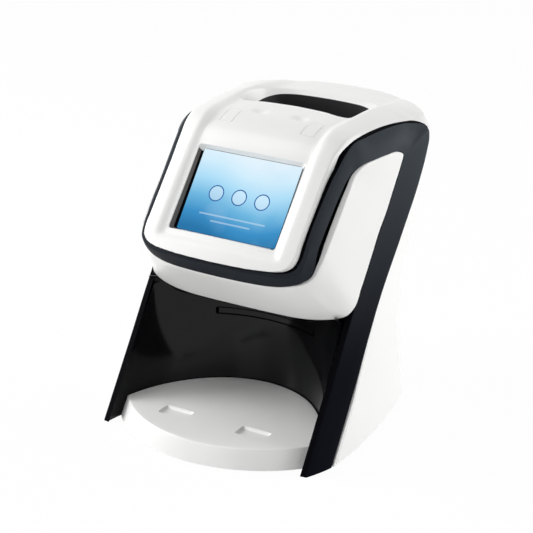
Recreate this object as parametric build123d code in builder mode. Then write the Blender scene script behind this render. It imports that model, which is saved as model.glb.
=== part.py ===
"""Phosphor plate scanner: casing, display, plate transport and optics as separate pieces.

Frame: X to the right of a person facing the screen, Y to the back, Z up.
Z = 0 is the table under the rubber feet, X = 0 is the plane of symmetry.
"""
import os
from math import cos, radians, sin, sqrt, tan

from build123d import *

os.makedirs("parts", exist_ok=True)

# Casing: walls and the plan of its rear half
wall = 3.0
shell_bottom = 1.2
rear_arc_depth = 44.0
flank_length = 115.0
flank_bulge = 3.0
body_half_width = 105.0
# Height, rearmost Y and inset of the rear corner from the flank, from the table to above the top
rear_stations = [
    (0.0, 110.5, 19.0),
    (60.0, 104.5, 20.5),
    (112.0, 105.0, 19.0),
    (160.0, 118.0, 14.0),
    (205.0, 130.5, 11.0),
    (255.0, 139.0, 17.0),
]

# Casing: the leaning sides, given as half widths at distances along the foot line
side_lean = 0.70
widest_y = -60.0
leg_front_inset = 10.0
leg_front_half_width = body_half_width - leg_front_inset
leg_front_foot_y = -110.5
cheek_inset = 25.0
cheek_half_width = body_half_width - cheek_inset
cheek_y = -177.0
corner_inset = 31.2
corner_half_width = body_half_width - corner_inset
corner_y = -190.0
nose_inset = 49.0
nose_half_width = body_half_width - nose_inset
nose_y = -224.0

# Casing: the rounded shoulders seen from the front, as insets and heights
shoulder_foot_inset, shoulder_foot_height = 0.5, 205.0
shoulder_middle_inset, shoulder_middle_height = 12.0, 232.0
shoulder_top_inset, shoulder_top_height = 43.0, 246.5
shoulder_foot = (body_half_width - shoulder_foot_inset, shoulder_foot_height)
shoulder_middle = (body_half_width - shoulder_middle_inset, shoulder_middle_height)
shoulder_top = (body_half_width - shoulder_top_inset, shoulder_top_height)
crown_height = 254.0

# Casing: the side view of the head
crown_axis_y = 505.0
crown_sweep = 36.0
jaw_y, jaw_height = -50.5, 101.0
chin_y, chin_height = -83.6, 137.5
band_top_y, band_top_height = -90.5, 152.5
bezel_foot_y, bezel_foot_height = -95.8, 155.0
face_lean = 0.856
bezel_proud = 6.2
top_height = 246.5
top_middle_y, top_middle_height = 58.0, 248.5
top_rear_y, top_rear_height = 150.0, 231.5
brow_radius = 45.0

# Casing: the leg and the seams of the dark frame in the side view
leg_top_y, leg_top_height = -37.0, 112.0
leg_width = 25.5
window_rear_y, window_rear_height = 45.0, 216.0
window_front_y, window_front_height = -17.0, 218.5
window_cheek_y, window_cheek_height = -74.0, 149.0
window_rear_round = 6.0
window_front_round = 14.0
frame_middle_y, frame_middle_height = -6.5, 115.0
frame_rear_y, frame_rear_height = 64.0, 198.0
frame_top_y, frame_top_height = 40.0, 239.0
frame_corner_drop, frame_brow_drop = 12.0, 3.5
frame_corner_y, frame_corner_height = 82.0, frame_top_height - frame_corner_drop
frame_brow_y, frame_brow_height = -14.0, frame_top_height - frame_brow_drop
frame_corner_round = 9.0
frame_top_round = 120.0
rear_seam_height = 226.0
bezel_half_width = 68.5
bezel_corner_radius = 12.0

# Plate bay between the legs
bay_half_width = 91.8
bay_rear_y = -5.3
bay_floor = 1.0
bay_front_centre_y = -126.3
bay_roof = 112.0
bay_arch_half_width = 60.0
liner_wall = 2.2
bay_slot_width = 94.0
bay_slot_height = 6.0
bay_slot_level = 74.5

# Receiving tray, which lifts and slides out at the front
tray_top = 15.9
tray_radius = 120.3
tray_front_y = -135.5
tray_lean_back = 7.2
tray_wall = 2.4
tray_gap = 0.4
tray_recess_length = 27.0
tray_recess_width = 15.0
tray_recess_corner = 2.0
tray_recess_depth = 1.6
tray_recess_x = 36.4
tray_recess_y = -91.8

# Display, set back in the leaning face
face_angle = 38.3
glass_centre_y, glass_centre_height = -52.0, 192.85
screen_width = 91.4
screen_height = 68.7
screen_corner = 1.5
screen_draft = 12.0
screen_top_slope = 0.8
screen_funnel_depth = 12.0
screen_well_wall = 2.0
glass_thickness = 1.1
glass_margin = 3.0
lcd_margin = 1.8
lcd_thickness = 5.0
display_gap = 0.3
display_rim = 2.5
display_floor = 1.5
display_window_margin = 12.0
board_thickness = 1.6
ear_x, ear_y = 55.0, 28.0
ear_radius = 4.5
ear_thickness = 3.0
boss_radius = 3.5

# Grip in the top
grip_front_y = 36.0
grip_front_bow = 4.5
grip_front_half_width = 50.0
grip_rear_y = 91.0
grip_rear_bow = 8.0
grip_rear_half_width = 47.0
grip_side_half_width = 55.0
grip_side_y = 52.0
grip_rim_bottom = 232.0
grip_bottom = 198.0
grip_wall = 2.0

# Base
base_thickness = 3.0
fit_gap = 0.3
foot_radius = 7.0
foot_sink = 1.2
front_foot_x, front_foot_y = 72.0, -78.0
rear_foot_x, rear_foot_y = 62.0, 62.0
screw_head_radius = 3.0
screw_head_height = 1.8
screw_shank_radius = 1.5
screw_length = 6.0
front_screw_inset, rear_screw_inset = 8.0, 20.0
front_screw_x, front_screw_y = body_half_width - front_screw_inset, -48.0
rear_screw_x, rear_screw_y = body_half_width - rear_screw_inset, 40.0
base_boss_radius = 5.5
base_boss_height = 9.0

# Plate transport
deck_level = 50.0
deck_thickness = 3.0
deck_half_width = 68.0
deck_front_y = 3.0
deck_length = 71.0
post_radius = 3.0
post_x = 64.5
post_front_y, post_rear_y = 14.0, 62.0
carrier_width = 90.0
carrier_thickness = 4.4
carrier_front_y = -20.0
carrier_set_back = 0.5
pocket_width = 78.0
pocket_length = 56.0
pocket_front_y = 2.0
pocket_depth = 1.6
rod_radius = 3.0
rod_fit = 0.05
rod_x = 52.0
rod_level = 61.0
rail_block_half_width = 60.0
rail_block_length = 5.0
rail_block_height = 15.0
saddle_width = 16.0
saddle_length = 12.0
saddle_gap = 2.0
screw_radius = 2.5
motor_size = 28.0
motor_length = 24.0
motor_corner = 3.0
motor_bore = 10.0

# Optics over the transport
optics_level = 96.0
optics_thickness = 3.0
optics_front_y = -1.0
optics_length = 72.0
scan_window_width = 84.0
scan_window_length = 8.0
scan_window_y = 8.0
collector_height = 32.0
collector_top_width = 24.0
tube_radius = 14.0
tube_length = 50.0
mirror_x, mirror_y = 34.0, 44.0
mirror_radius = 12.0
mirror_height = 7.0
mirror_facets = 8
mirror_shaft_radius = 2.0
mirror_shaft_depth = 6.0
mirror_gap = 1.0
mirror_motor_radius = 11.0
mirror_motor_height = 9.0
laser_radius = 6.0
laser_length = 34.0
laser_x = -26.0
laser_block = 16.0
lamp_board_length = 12.0
lamp_board_y = 26.0
lamp_post_x = 36.0
lamp_drop = 3.4
lamp_size = 3.0
lamp_height = 1.5
lamp_count = 9

# Electronics at the back
main_board_y = 84.0
main_board_half_width = 42.0
main_board_bottom, main_board_top = 110.0, 188.0
board_boss_x = 36.0
board_boss_low, board_boss_high = 116.0, 182.0
chip_size = 18.0
chip_height = 3.0

# Rear ports
port_recess_width = 84.0
port_recess_bottom = 12.0
port_recess_height = 32.0
port_wall_y = 88.0
port_wall = 2.0
port_proud = 0.5
port_gap = 0.2
port_board_level = 17.0
port_board_x, port_board_y = -9.0, 74.0
port_board_width = 58.0
port_board_length = 26.0
port_post_pitch_x = 50.0
port_post_pitch_y = 16.0
network_x, network_width, network_height = -28.0, 16.0, 14.0
network_socket_width = 12.0
network_socket_height = 7.0
usb_x, usb_width, usb_height = -8.0, 12.0, 11.0
usb_wall = 1.6
usb_gap = 1.6
inlet_x, inlet_size, inlet_bore, inlet_pin = 10.0, 11.0, 3.2, 1.0
port_depth = 18.0
socket_depth = 12.0
rocker_x, rocker_level = 31.0, 28.0
rocker_width, rocker_height = 12.0, 18.0
rocker_gap = 0.3
rocker_sink = 5.0
rocker_back = 4.0
rocker_proud = 0.5
rocker_pin_radius = 1.5
switch_wall = 1.5
switch_depth = 14.0

back_view = Plane.XZ
side_view = Plane.YZ
sky = 300.0
reach = 160.0


def side_region(points, rounds=()):
    """A prism right across the object whose side view is the closed outline given.

    Each entry of rounds is a corner of that outline and the radius that it gets.
    """
    with BuildPart() as region:
        with BuildSketch(side_view):
            with BuildLine():
                Polyline(*points, close=True)
            make_face()
            for corner, radius in rounds:
                fillet(vertices().sort_by_distance(Vector(*corner, 0))[0], radius)
        extrude(amount=reach, both=True)
    return region.part


def block(x, y, z, centre=(0, 0), level=0.0):
    """A plain block standing on the given level, centred on a point of the plan."""
    with BuildPart() as made:
        with BuildSketch(Plane.XY.offset(level)):
            with Locations(centre):
                Rectangle(x, y)
        extrude(amount=z)
    return made.part


def rear_outline(back, corner, inset):
    """Face edges of the plan at one height: rear arc, two flanks and a straight front."""
    corner_line_y = back - rear_arc_depth
    widest = corner_line_y - flank_length
    middle = (corner + body_half_width) / 2 + flank_bulge
    with BuildSketch() as outline:
        with BuildLine():
            ThreePointArc((-corner, corner_line_y), (0, back), (corner, corner_line_y))
            ThreePointArc((corner, corner_line_y), (middle, (corner_line_y + widest) / 2),
                          (body_half_width, widest))
            Polyline((body_half_width, widest), (body_half_width + wall, -reach - 10),
                     (-body_half_width - wall, -reach - 10), (-body_half_width, widest))
            ThreePointArc((-body_half_width, widest), (-middle, (corner_line_y + widest) / 2),
                          (-corner, corner_line_y))
        make_face()
        if inset:
            offset(amount=-inset, kind=Kind.INTERSECTION)
    return outline.sketch


def envelope(inset, setback):
    """The closed form of the casing, drawn in by inset, its face set back by setback."""
    with BuildPart() as back_form:
        for height, back, corner_set_in in rear_stations:
            with BuildSketch(Plane.XY.offset(height)):
                add(rear_outline(back, body_half_width - corner_set_in, inset))
        loft()

    with BuildPart() as nose_form:
        with BuildSketch():
            with BuildLine():
                half = [(nose_half_width, nose_y), (corner_half_width, corner_y),
                        (cheek_half_width, cheek_y), (leg_front_half_width, leg_front_foot_y)]
                tail = [(body_half_width + 1, widest_y), (body_half_width + 12, 200)]
                Polyline(*half)
                ThreePointArc(half[-1], (body_half_width - 2.6, -86), tail[0])
                Polyline(*tail, *[(-x, y) for x, y in reversed(tail)])
                ThreePointArc((-tail[0][0], tail[0][1]), (2.6 - body_half_width, -86),
                              (-half[-1][0], half[-1][1]))
                Polyline(*[(-x, y) for x, y in reversed(half)], half[0])
            make_face()
            if inset:
                offset(amount=-inset, kind=Kind.INTERSECTION)
        extrude(amount=sky * sqrt(1 + side_lean ** 2), dir=(0, side_lean, 1))

    with BuildPart() as shoulder_form:
        with BuildSketch(back_view):
            with BuildLine():
                foot = (body_half_width + 5, -10)
                Polyline((-foot[0], foot[1]), foot, (foot[0], shoulder_foot[1] - 8), shoulder_foot)
                ThreePointArc(shoulder_foot, shoulder_middle, shoulder_top)
                Polyline(shoulder_top, (0, crown_height), (-shoulder_top[0], shoulder_top[1]))
                ThreePointArc((-shoulder_top[0], shoulder_top[1]),
                              (-shoulder_middle[0], shoulder_middle[1]),
                              (-shoulder_foot[0], shoulder_foot[1]))
                Polyline((-shoulder_foot[0], shoulder_foot[1]), (-foot[0], shoulder_foot[1] - 8),
                         (-foot[0], foot[1]))
            make_face()
            if inset:
                offset(amount=-inset, kind=Kind.ARC)
        extrude(amount=sky, both=True)

    turned = radians(crown_sweep / 2)
    crown_plane = Plane(origin=(0, crown_axis_y, 0), x_dir=(-sin(turned), cos(turned), 0),
                        z_dir=(cos(turned), sin(turned), 0))
    shift = setback * sqrt(1 + face_lean ** 2)
    foot_y = bezel_foot_y + shift
    brow_y = foot_y + (top_height - bezel_foot_height) * face_lean
    if setback:
        chin = [(chin_y, chin_height), (band_top_y, band_top_height)]
    else:
        chin = [(chin_y, chin_height), (band_top_y, band_top_height), (foot_y, bezel_foot_height)]
    profile = [(jaw_y, jaw_height), *chin, (brow_y, top_height),
               (top_middle_y, top_middle_height), (top_rear_y, top_rear_height),
               (top_rear_y, jaw_height)]
    with BuildPart() as head_form:
        with BuildSketch(crown_plane):
            with BuildLine():
                Polyline(*[(y - crown_axis_y, z) for y, z in profile], close=True)
            make_face()
            if inset:
                offset(amount=-inset, kind=Kind.INTERSECTION, mode=Mode.REPLACE)
            brow = vertices().sort_by_distance(Vector(brow_y - crown_axis_y, top_height, 0))[0]
            fillet(brow, brow_radius - inset)
        revolve(axis=Axis((0, crown_axis_y, 0), (0, 0, -1)), revolution_arc=crown_sweep)

    lean = (leg_top_y - leg_front_foot_y) / leg_top_height
    with BuildPart() as form:
        with BuildSketch(side_view):
            with BuildLine():
                Polyline((leg_front_foot_y - lean * 10, -10), (leg_top_y, leg_top_height),
                         (leg_top_y, leg_top_height + 20), (reach, leg_top_height + 20),
                         (reach, -10), close=True)
            make_face()
            if inset:
                offset(amount=-inset, kind=Kind.INTERSECTION)
        extrude(amount=reach, both=True)
        add(head_form.part)
        add(nose_form.part, mode=Mode.INTERSECT)
        add(shoulder_form.part, mode=Mode.INTERSECT)
        add(back_form.part, mode=Mode.INTERSECT)
    return form.part


def bay(grow):
    """The hollow between the legs: an upright concave rear wall under an arched roof."""
    with BuildPart() as hollow:
        for height in (bay_floor, bay_roof + 4):
            rise = height - bay_floor
            centre = bay_front_centre_y + rise * (leg_top_y - leg_front_foot_y) / leg_top_height
            with BuildSketch(Plane.XY.offset(height)):
                with Locations((0, centre)):
                    Ellipse(bay_half_width + grow, bay_rear_y - centre + grow)
        loft(ruled=True)
        with BuildSketch(back_view):
            with BuildLine():
                edge = bay_half_width + 8
                low = jaw_height + grow
                bend = (bay_arch_half_width, low)
                side = (edge, bay_roof + grow)
                Polyline((-edge, -10), (edge, -10), side)
                ThreePointArc(side, ((bend[0] + side[0]) / 2 + 2, low + 3.0), bend)
                Line(bend, (-bend[0], low))
                ThreePointArc((-bend[0], low), (-(bend[0] + side[0]) / 2 - 2, low + 3.0),
                              (-edge, bay_roof + grow))
                Line((-edge, bay_roof + grow), (-edge, -10))
            make_face()
        extrude(amount=sky, both=True, mode=Mode.INTERSECT)
    return hollow.part


def grip_outline(grow):
    """The plan of the hand grip: bowed front and rear edges and pointed sides."""
    front = (grip_front_half_width, grip_front_y - grip_front_bow)
    side = (grip_side_half_width, grip_side_y)
    rear = (grip_rear_half_width, grip_rear_y - grip_rear_bow)
    with BuildSketch() as outline:
        with BuildLine():
            ThreePointArc((-front[0], front[1]), (0, grip_front_y), front)
            Polyline(front, side, rear)
            ThreePointArc(rear, (0, grip_rear_y), (-rear[0], rear[1]))
            Polyline((-rear[0], rear[1]), (-side[0], side[1]), (-front[0], front[1]))
        make_face()
        if grow:
            offset(amount=grow, kind=Kind.ARC)
    return outline.sketch


def bezel_slab(inset):
    """The bezel's outline seen from the front, with round lower corners, right through."""
    edge = bezel_half_width - inset
    foot = bezel_foot_height + inset
    with BuildPart() as slab:
        with BuildSketch(back_view):
            with BuildLine():
                Polyline((-edge, sky), (-edge, foot), (edge, foot), (edge, sky), close=True)
            make_face()
            fillet(vertices().group_by(Axis.Y)[0], bezel_corner_radius - inset)
        extrude(amount=sky, both=True)
    return slab.part


def screen_funnel(grow, start):
    """The tapered well of the screen, from start mm before the glass to clear of the face."""
    with BuildPart() as funnel:
        for distance in (start, screen_funnel_depth):
            spread = grow + distance * tan(radians(screen_draft))
            rise = distance * screen_top_slope
            with BuildSketch(face_plane.offset(distance)):
                with Locations((0, rise / 2)):
                    RectangleRounded(screen_width + 2 * spread, screen_height + rise + 2 * spread,
                                     screen_corner + grow)
        loft()
    return funnel.part


# Levels and places that several pieces share
leg_lean = (leg_top_y - leg_front_foot_y) / leg_top_height
base_top = shell_bottom + base_thickness
deck_top = deck_level + deck_thickness
carrier_level = bay_slot_level - carrier_thickness / 2
optics_top = optics_level + optics_thickness
collector_top = optics_top + collector_height
mirror_motor_top = optics_top + mirror_motor_height
mirror_level = mirror_motor_top + mirror_gap
port_board_top = port_board_level + board_thickness
port_face_y = port_wall_y + port_wall + port_proud
rocker_pivot_y = port_face_y - rocker_sink
face_plane = Plane(origin=(0, glass_centre_y, glass_centre_height), x_dir=(1, 0, 0),
                   z_dir=(0, -cos(radians(face_angle)), sin(radians(face_angle))))
lcd_back = glass_thickness + display_gap + lcd_thickness
display_depth = lcd_back + display_gap + display_floor
ear_spots = [(x, y) for x in (-ear_x, ear_x) for y in (-ear_y, ear_y)]
board_spots = [(x, z) for x in (-board_boss_x, board_boss_x)
               for z in (board_boss_low, board_boss_high)]
base_spots = [(side * x, y) for side in (-1, 1)
              for x, y in ((front_screw_x, front_screw_y), (rear_screw_x, rear_screw_y))]
foot_spots = [(side * x, y) for side in (-1, 1)
              for x, y in ((front_foot_x, front_foot_y), (rear_foot_x, rear_foot_y))]
post_spots = [(x, y) for x in (-post_x, post_x) for y in (post_front_y, post_rear_y)]

# The forms that the casing pieces are cut from
outer_full = envelope(0, 0)
outer_set = envelope(0, bezel_proud)
inner_full = envelope(wall, 0)
inner_set = envelope(wall, bezel_proud)
inner_clear = envelope(wall + fit_gap, bezel_proud)
middle_full = envelope(wall / 2, 0)
middle_set = envelope(wall / 2, bezel_proud)
bay_hollow = bay(0)
upper_half = block(2 * reach, 2 * reach, sky - rear_seam_height, level=rear_seam_height)

window_region = side_region(
    [(leg_top_y - leg_lean * 30 - fit_gap, leg_top_height - 30), (leg_top_y, leg_top_height),
     (window_rear_y, window_rear_height), (window_front_y, window_front_height),
     (window_cheek_y, window_cheek_height), (chin_y, chin_height),
     (chin_y - 30, chin_height - 22), (chin_y, leg_top_height - 30)],
    [((window_rear_y, window_rear_height), window_rear_round),
     ((window_front_y, window_front_height), window_front_round)])
frame_region = side_region(
    [(leg_front_foot_y + leg_width - leg_lean * 10, -10), (frame_middle_y, frame_middle_height),
     (frame_rear_y, frame_rear_height), (frame_corner_y, frame_corner_height),
     (frame_top_y, frame_top_height), (frame_brow_y, frame_brow_height),
     (frame_brow_y - 46, sky), (-reach, sky), (-reach, -10)],
    [((frame_corner_y, frame_corner_height), frame_corner_round),
     ((frame_top_y, frame_top_height), frame_top_round)])
bezel_region = side_region(
    [(-reach, band_top_height - 30), (band_top_y, band_top_height),
     (band_top_y + 30, band_top_height + 1), (rear_stations[2][1], rear_seam_height),
     (reach, rear_seam_height), (reach, sky), (-reach, sky)])

with BuildPart() as skin:
    add(outer_set)
    add(inner_set, mode=Mode.SUBTRACT)
    add(bay_hollow, mode=Mode.SUBTRACT)
    with BuildSketch(Plane.XY.offset(shell_bottom)):
        Rectangle(2 * reach, 2 * reach)
    extrude(amount=-sky, mode=Mode.SUBTRACT)

with BuildPart() as bezel_zone:
    add(bezel_slab(0))
    add(bezel_region, mode=Mode.INTERSECT)

with BuildPart() as rear_zone:
    with BuildSketch(Plane.XY.offset(shell_bottom)):
        Rectangle(2 * reach, 2 * reach)
    extrude(amount=rear_seam_height - shell_bottom)
    add(frame_region, mode=Mode.SUBTRACT)

# The front edge of the base under the tray, just inside the tray's skirt
base_front_radius = tray_radius - tray_lean_back * base_top / tray_top - tray_wall - fit_gap

# Top cover: bezel, brow, top and the rim of the grip, in one moulding
with BuildPart() as bezel_skin:
    add(outer_full)
    add(inner_full, mode=Mode.SUBTRACT)
    add(bezel_zone.part, mode=Mode.INTERSECT)

with BuildPart() as bezel_rim:
    add(outer_full)
    add(inner_set, mode=Mode.SUBTRACT)
    add(bezel_zone.part, mode=Mode.INTERSECT)
    add(bezel_slab(wall), mode=Mode.SUBTRACT)

with BuildPart() as screen_well:
    add(screen_funnel(screen_well_wall, fit_gap))
    with Locations(face_plane):
        with Locations(*ear_spots):
            Cylinder(boss_radius, screen_funnel_depth,
                     align=(Align.CENTER, Align.CENTER, Align.MIN))
    add(middle_full, mode=Mode.INTERSECT)

with BuildPart() as grip_rim:
    with BuildSketch(Plane.XY.offset(grip_rim_bottom)):
        add(grip_outline(grip_wall))
    extrude(amount=sky - grip_rim_bottom)
    add(middle_full, mode=Mode.INTERSECT)

with BuildPart() as top_cover:
    add(skin.part)
    add(upper_half, mode=Mode.INTERSECT)
    add(frame_region, mode=Mode.SUBTRACT)
    add(bezel_zone.part, mode=Mode.SUBTRACT)
    add(bezel_skin.part)
    add(bezel_rim.part)
    add(screen_well.part)
    add(grip_rim.part)
    add(screen_funnel(0, 0), mode=Mode.SUBTRACT)
    with BuildSketch(Plane.XY.offset(grip_bottom)):
        add(grip_outline(0))
    extrude(amount=sky - grip_bottom, mode=Mode.SUBTRACT)
    with Locations(face_plane):
        with Locations(*ear_spots):
            Cylinder(screw_shank_radius, 2 * (screw_length - ear_thickness), mode=Mode.SUBTRACT)
top_cover.part.label = "top_cover"

# Front shell: the side panels and the jaw over the plate bay
with BuildPart() as front_shell:
    add(skin.part)
    add(window_region, mode=Mode.INTERSECT)
    add(bezel_zone.part, mode=Mode.SUBTRACT)
front_shell.part.label = "front_shell"

# Dark frame: the two legs, the side bands and the chin in one loop
with BuildPart() as dark_frame:
    add(skin.part)
    add(frame_region, mode=Mode.INTERSECT)
    add(window_region, mode=Mode.SUBTRACT)
    add(bezel_zone.part, mode=Mode.SUBTRACT)
    with BuildSketch(Plane.XY.offset(leg_top_height)):
        Rectangle(2 * bay_half_width, 2 * reach)
    extrude(amount=-sky, mode=Mode.SUBTRACT)
dark_frame.part.label = "dark_frame"

# Rear cover, with the port recess, the board bosses and the bosses for the base screws
with BuildPart() as rear_fixings:
    with BuildSketch(back_view.offset(-main_board_y - board_thickness)):
        with Locations(*board_spots):
            Circle(boss_radius)
    extrude(amount=-reach)
    with BuildSketch(Plane.XY.offset(base_top)):
        with Locations(*base_spots):
            Circle(base_boss_radius)
    extrude(amount=base_boss_height)
    with BuildSketch(back_view.offset(-port_wall_y)):
        with Locations((0, port_recess_bottom + port_recess_height / 2)):
            Rectangle(port_recess_width + 2 * port_wall, port_recess_height + 2 * port_wall)
    extrude(amount=-reach)
    add(middle_set, mode=Mode.INTERSECT)

with BuildPart() as rear_cover:
    add(skin.part)
    add(rear_zone.part, mode=Mode.INTERSECT)
    add(rear_fixings.part)
    with BuildSketch(back_view.offset(-port_wall_y - port_wall)):
        with Locations((0, port_recess_bottom + port_recess_height / 2)):
            Rectangle(port_recess_width, port_recess_height)
    extrude(amount=-reach, mode=Mode.SUBTRACT)
    with BuildSketch(back_view.offset(-port_wall_y)):
        for x, width, height in ((network_x, network_width, network_height),
                                 (usb_x, usb_width, usb_height),
                                 (inlet_x, inlet_size, inlet_size)):
            with Locations((x, port_board_top + height / 2)):
                Rectangle(width + 2 * port_gap, height + 2 * port_gap)
        with Locations((rocker_x, rocker_level)):
            Rectangle(rocker_width + 2 * (rocker_gap + switch_wall + port_gap),
                      rocker_height + 2 * (rocker_gap + switch_wall + port_gap))
    extrude(amount=-port_wall, mode=Mode.SUBTRACT)
    with BuildSketch(back_view.offset(-main_board_y)):
        with Locations(*board_spots):
            Circle(screw_shank_radius)
    extrude(amount=-screw_length, mode=Mode.SUBTRACT)
    with BuildSketch(Plane.XY.offset(shell_bottom + screw_head_height)):
        with Locations(*base_spots):
            Circle(screw_shank_radius)
    extrude(amount=screw_length, mode=Mode.SUBTRACT)
rear_cover.part.label = "rear_cover"

# Glossy liner of the plate bay, with the slot that the carrier comes out of
with BuildPart() as cavity_liner:
    add(bay(liner_wall))
    add(bay_hollow, mode=Mode.SUBTRACT)
    add(inner_set, mode=Mode.INTERSECT)
    with BuildSketch(Plane.XY.offset(shell_bottom)):
        Rectangle(2 * reach, 2 * reach)
    extrude(amount=-sky, mode=Mode.SUBTRACT)
    with Locations((0, tray_front_y + tray_radius, 0)):
        Cylinder(base_front_radius + fit_gap, base_top + fit_gap,
                 align=(Align.CENTER, Align.CENTER, Align.MIN), mode=Mode.SUBTRACT)
    with BuildSketch(back_view):
        with Locations((0, bay_slot_level)):
            Rectangle(bay_slot_width, bay_slot_height)
    extrude(amount=bay_slot_width / 2, both=True, mode=Mode.SUBTRACT)
cavity_liner.part.label = "cavity_liner"

# Receiving tray with the curved apron; a shell that stands on the base
tray_step = base_top + fit_gap
tray_centre = (0, tray_front_y + tray_radius, 0)
stand = (Align.CENTER, Align.CENTER, Align.MIN)

with BuildPart() as tray_hollow:
    with Locations(tray_centre):
        Cone(tray_radius - tray_wall, tray_radius - tray_lean_back - tray_wall,
             tray_top - tray_wall, align=stand)
    add(bay(-tray_gap - tray_wall), mode=Mode.INTERSECT)

with BuildPart() as receiving_tray:
    with Locations(tray_centre):
        Cone(tray_radius, tray_radius - tray_lean_back, tray_top, align=stand)
    add(bay(-tray_gap), mode=Mode.INTERSECT)
    add(tray_hollow.part, mode=Mode.SUBTRACT)
    with Locations(tray_centre):
        Cone(tray_radius - tray_wall,
             tray_radius - tray_wall - tray_lean_back * tray_step / tray_top,
             tray_step, align=stand, mode=Mode.SUBTRACT)
    with BuildSketch(Plane.XY.offset(shell_bottom)):
        Rectangle(2 * reach, 2 * reach)
    extrude(amount=-sky, mode=Mode.SUBTRACT)
    with BuildSketch(Plane.XY.offset(tray_top)):
        with Locations((-tray_recess_x, tray_recess_y), (tray_recess_x, tray_recess_y)):
            RectangleRounded(tray_recess_length, tray_recess_width, tray_recess_corner)
    extrude(amount=-tray_recess_depth, mode=Mode.SUBTRACT)
receiving_tray.part.label = "receiving_tray"

# Base plate, feet and the posts of the port board
with BuildPart() as base_clearance:
    add(bay(liner_wall + fit_gap))
    with Locations((0, tray_front_y + tray_radius, 0)):
        Cylinder(base_front_radius, sky, mode=Mode.SUBTRACT)

with BuildPart() as base_plate:
    add(inner_clear)
    with BuildSketch(Plane.XY.offset(shell_bottom)):
        Rectangle(2 * reach, 2 * reach)
    extrude(amount=base_thickness, mode=Mode.INTERSECT)
    add(base_clearance.part, mode=Mode.SUBTRACT)
    with BuildSketch(Plane.XY.offset(base_top)):
        with Locations((port_board_x, port_board_y)):
            with GridLocations(port_post_pitch_x, port_post_pitch_y, 2, 2):
                Circle(post_radius)
    extrude(amount=port_board_level - base_top)
    with BuildSketch(Plane.XY.offset(shell_bottom)):
        with Locations(*foot_spots):
            Circle(foot_radius + fit_gap)
    extrude(amount=foot_sink, mode=Mode.SUBTRACT)
    with BuildSketch(Plane.XY.offset(shell_bottom)):
        with Locations(*base_spots):
            Circle(screw_head_radius + fit_gap)
    extrude(amount=screw_head_height, mode=Mode.SUBTRACT)
    with BuildSketch(Plane.XY.offset(shell_bottom)):
        with Locations(*base_spots):
            Circle(screw_shank_radius)
    extrude(amount=base_thickness, mode=Mode.SUBTRACT)
base_plate.part.label = "base_plate"

with BuildPart() as rubber_feet:
    with BuildSketch():
        with Locations(*foot_spots):
            Circle(foot_radius)
    extrude(amount=shell_bottom + foot_sink)
rubber_feet.part.label = "rubber_feet"

# Closed pocket under the grip opening
with BuildPart() as handle_pocket:
    with BuildSketch(Plane.XY.offset(grip_bottom)):
        add(grip_outline(grip_wall))
    extrude(amount=grip_rim_bottom - grip_bottom)
    with BuildSketch(Plane.XY.offset(grip_bottom + grip_wall)):
        add(grip_outline(0))
    extrude(amount=sky, mode=Mode.SUBTRACT)
handle_pocket.part.label = "handle_pocket"

# Display: glass, panel, the frame that holds them and the board behind it
with BuildPart() as screen_glass:
    with BuildSketch(face_plane):
        RectangleRounded(screen_width + 2 * glass_margin, screen_height + 2 * glass_margin,
                         screen_corner)
    extrude(amount=-glass_thickness)
screen_glass.part.label = "screen_glass"

with BuildPart() as lcd_panel:
    with BuildSketch(face_plane.offset(-glass_thickness - display_gap)):
        Rectangle(screen_width + 2 * lcd_margin, screen_height + 2 * lcd_margin)
    extrude(amount=-lcd_thickness)
lcd_panel.part.label = "lcd_panel"

with BuildPart() as display_frame:
    pocket_x = screen_width + 2 * (glass_margin + display_gap)
    pocket_y = screen_height + 2 * (glass_margin + display_gap)
    with BuildSketch(face_plane):
        Rectangle(pocket_x + 2 * display_rim, pocket_y + 2 * display_rim)
    extrude(amount=-display_depth)
    with BuildSketch(face_plane):
        with Locations(*ear_spots):
            Rectangle(2 * ear_radius, 2 * ear_radius)
    extrude(amount=-ear_thickness)
    with BuildSketch(face_plane):
        Rectangle(pocket_x, pocket_y)
    extrude(amount=-display_depth + display_floor, mode=Mode.SUBTRACT)
    with BuildSketch(face_plane):
        Rectangle(screen_width - 2 * display_window_margin,
                  screen_height - 2 * display_window_margin)
    extrude(amount=-display_depth, mode=Mode.SUBTRACT)
    with BuildSketch(face_plane):
        with Locations(*ear_spots):
            Circle(screw_shank_radius)
    extrude(amount=-ear_thickness, mode=Mode.SUBTRACT)
display_frame.part.label = "display_frame"

with BuildPart() as display_board:
    board_front = display_depth + display_gap
    with BuildSketch(face_plane.offset(-board_front)):
        Rectangle(screen_width - display_window_margin, screen_height - display_window_margin)
    extrude(amount=-board_thickness)
    with BuildSketch(face_plane.offset(-board_front - board_thickness)):
        with GridLocations(2 * chip_size, 0, 2, 1):
            Rectangle(chip_size, chip_size)
    extrude(amount=-chip_height)
display_board.part.label = "display_board"

# Plate transport: deck on posts, two rods between blocks, carrier, screw and motor
with BuildPart() as scan_deck:
    with BuildSketch(Plane.XY.offset(deck_level)):
        with Locations((0, deck_front_y)):
            Rectangle(2 * deck_half_width, deck_length, align=(Align.CENTER, Align.MIN))
    extrude(amount=deck_thickness)
scan_deck.part.label = "scan_deck"

with BuildPart() as deck_posts:
    with BuildSketch(Plane.XY.offset(base_top)):
        with Locations(*post_spots):
            Circle(post_radius)
    extrude(amount=deck_level - base_top)
deck_posts.part.label = "deck_posts"

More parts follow.
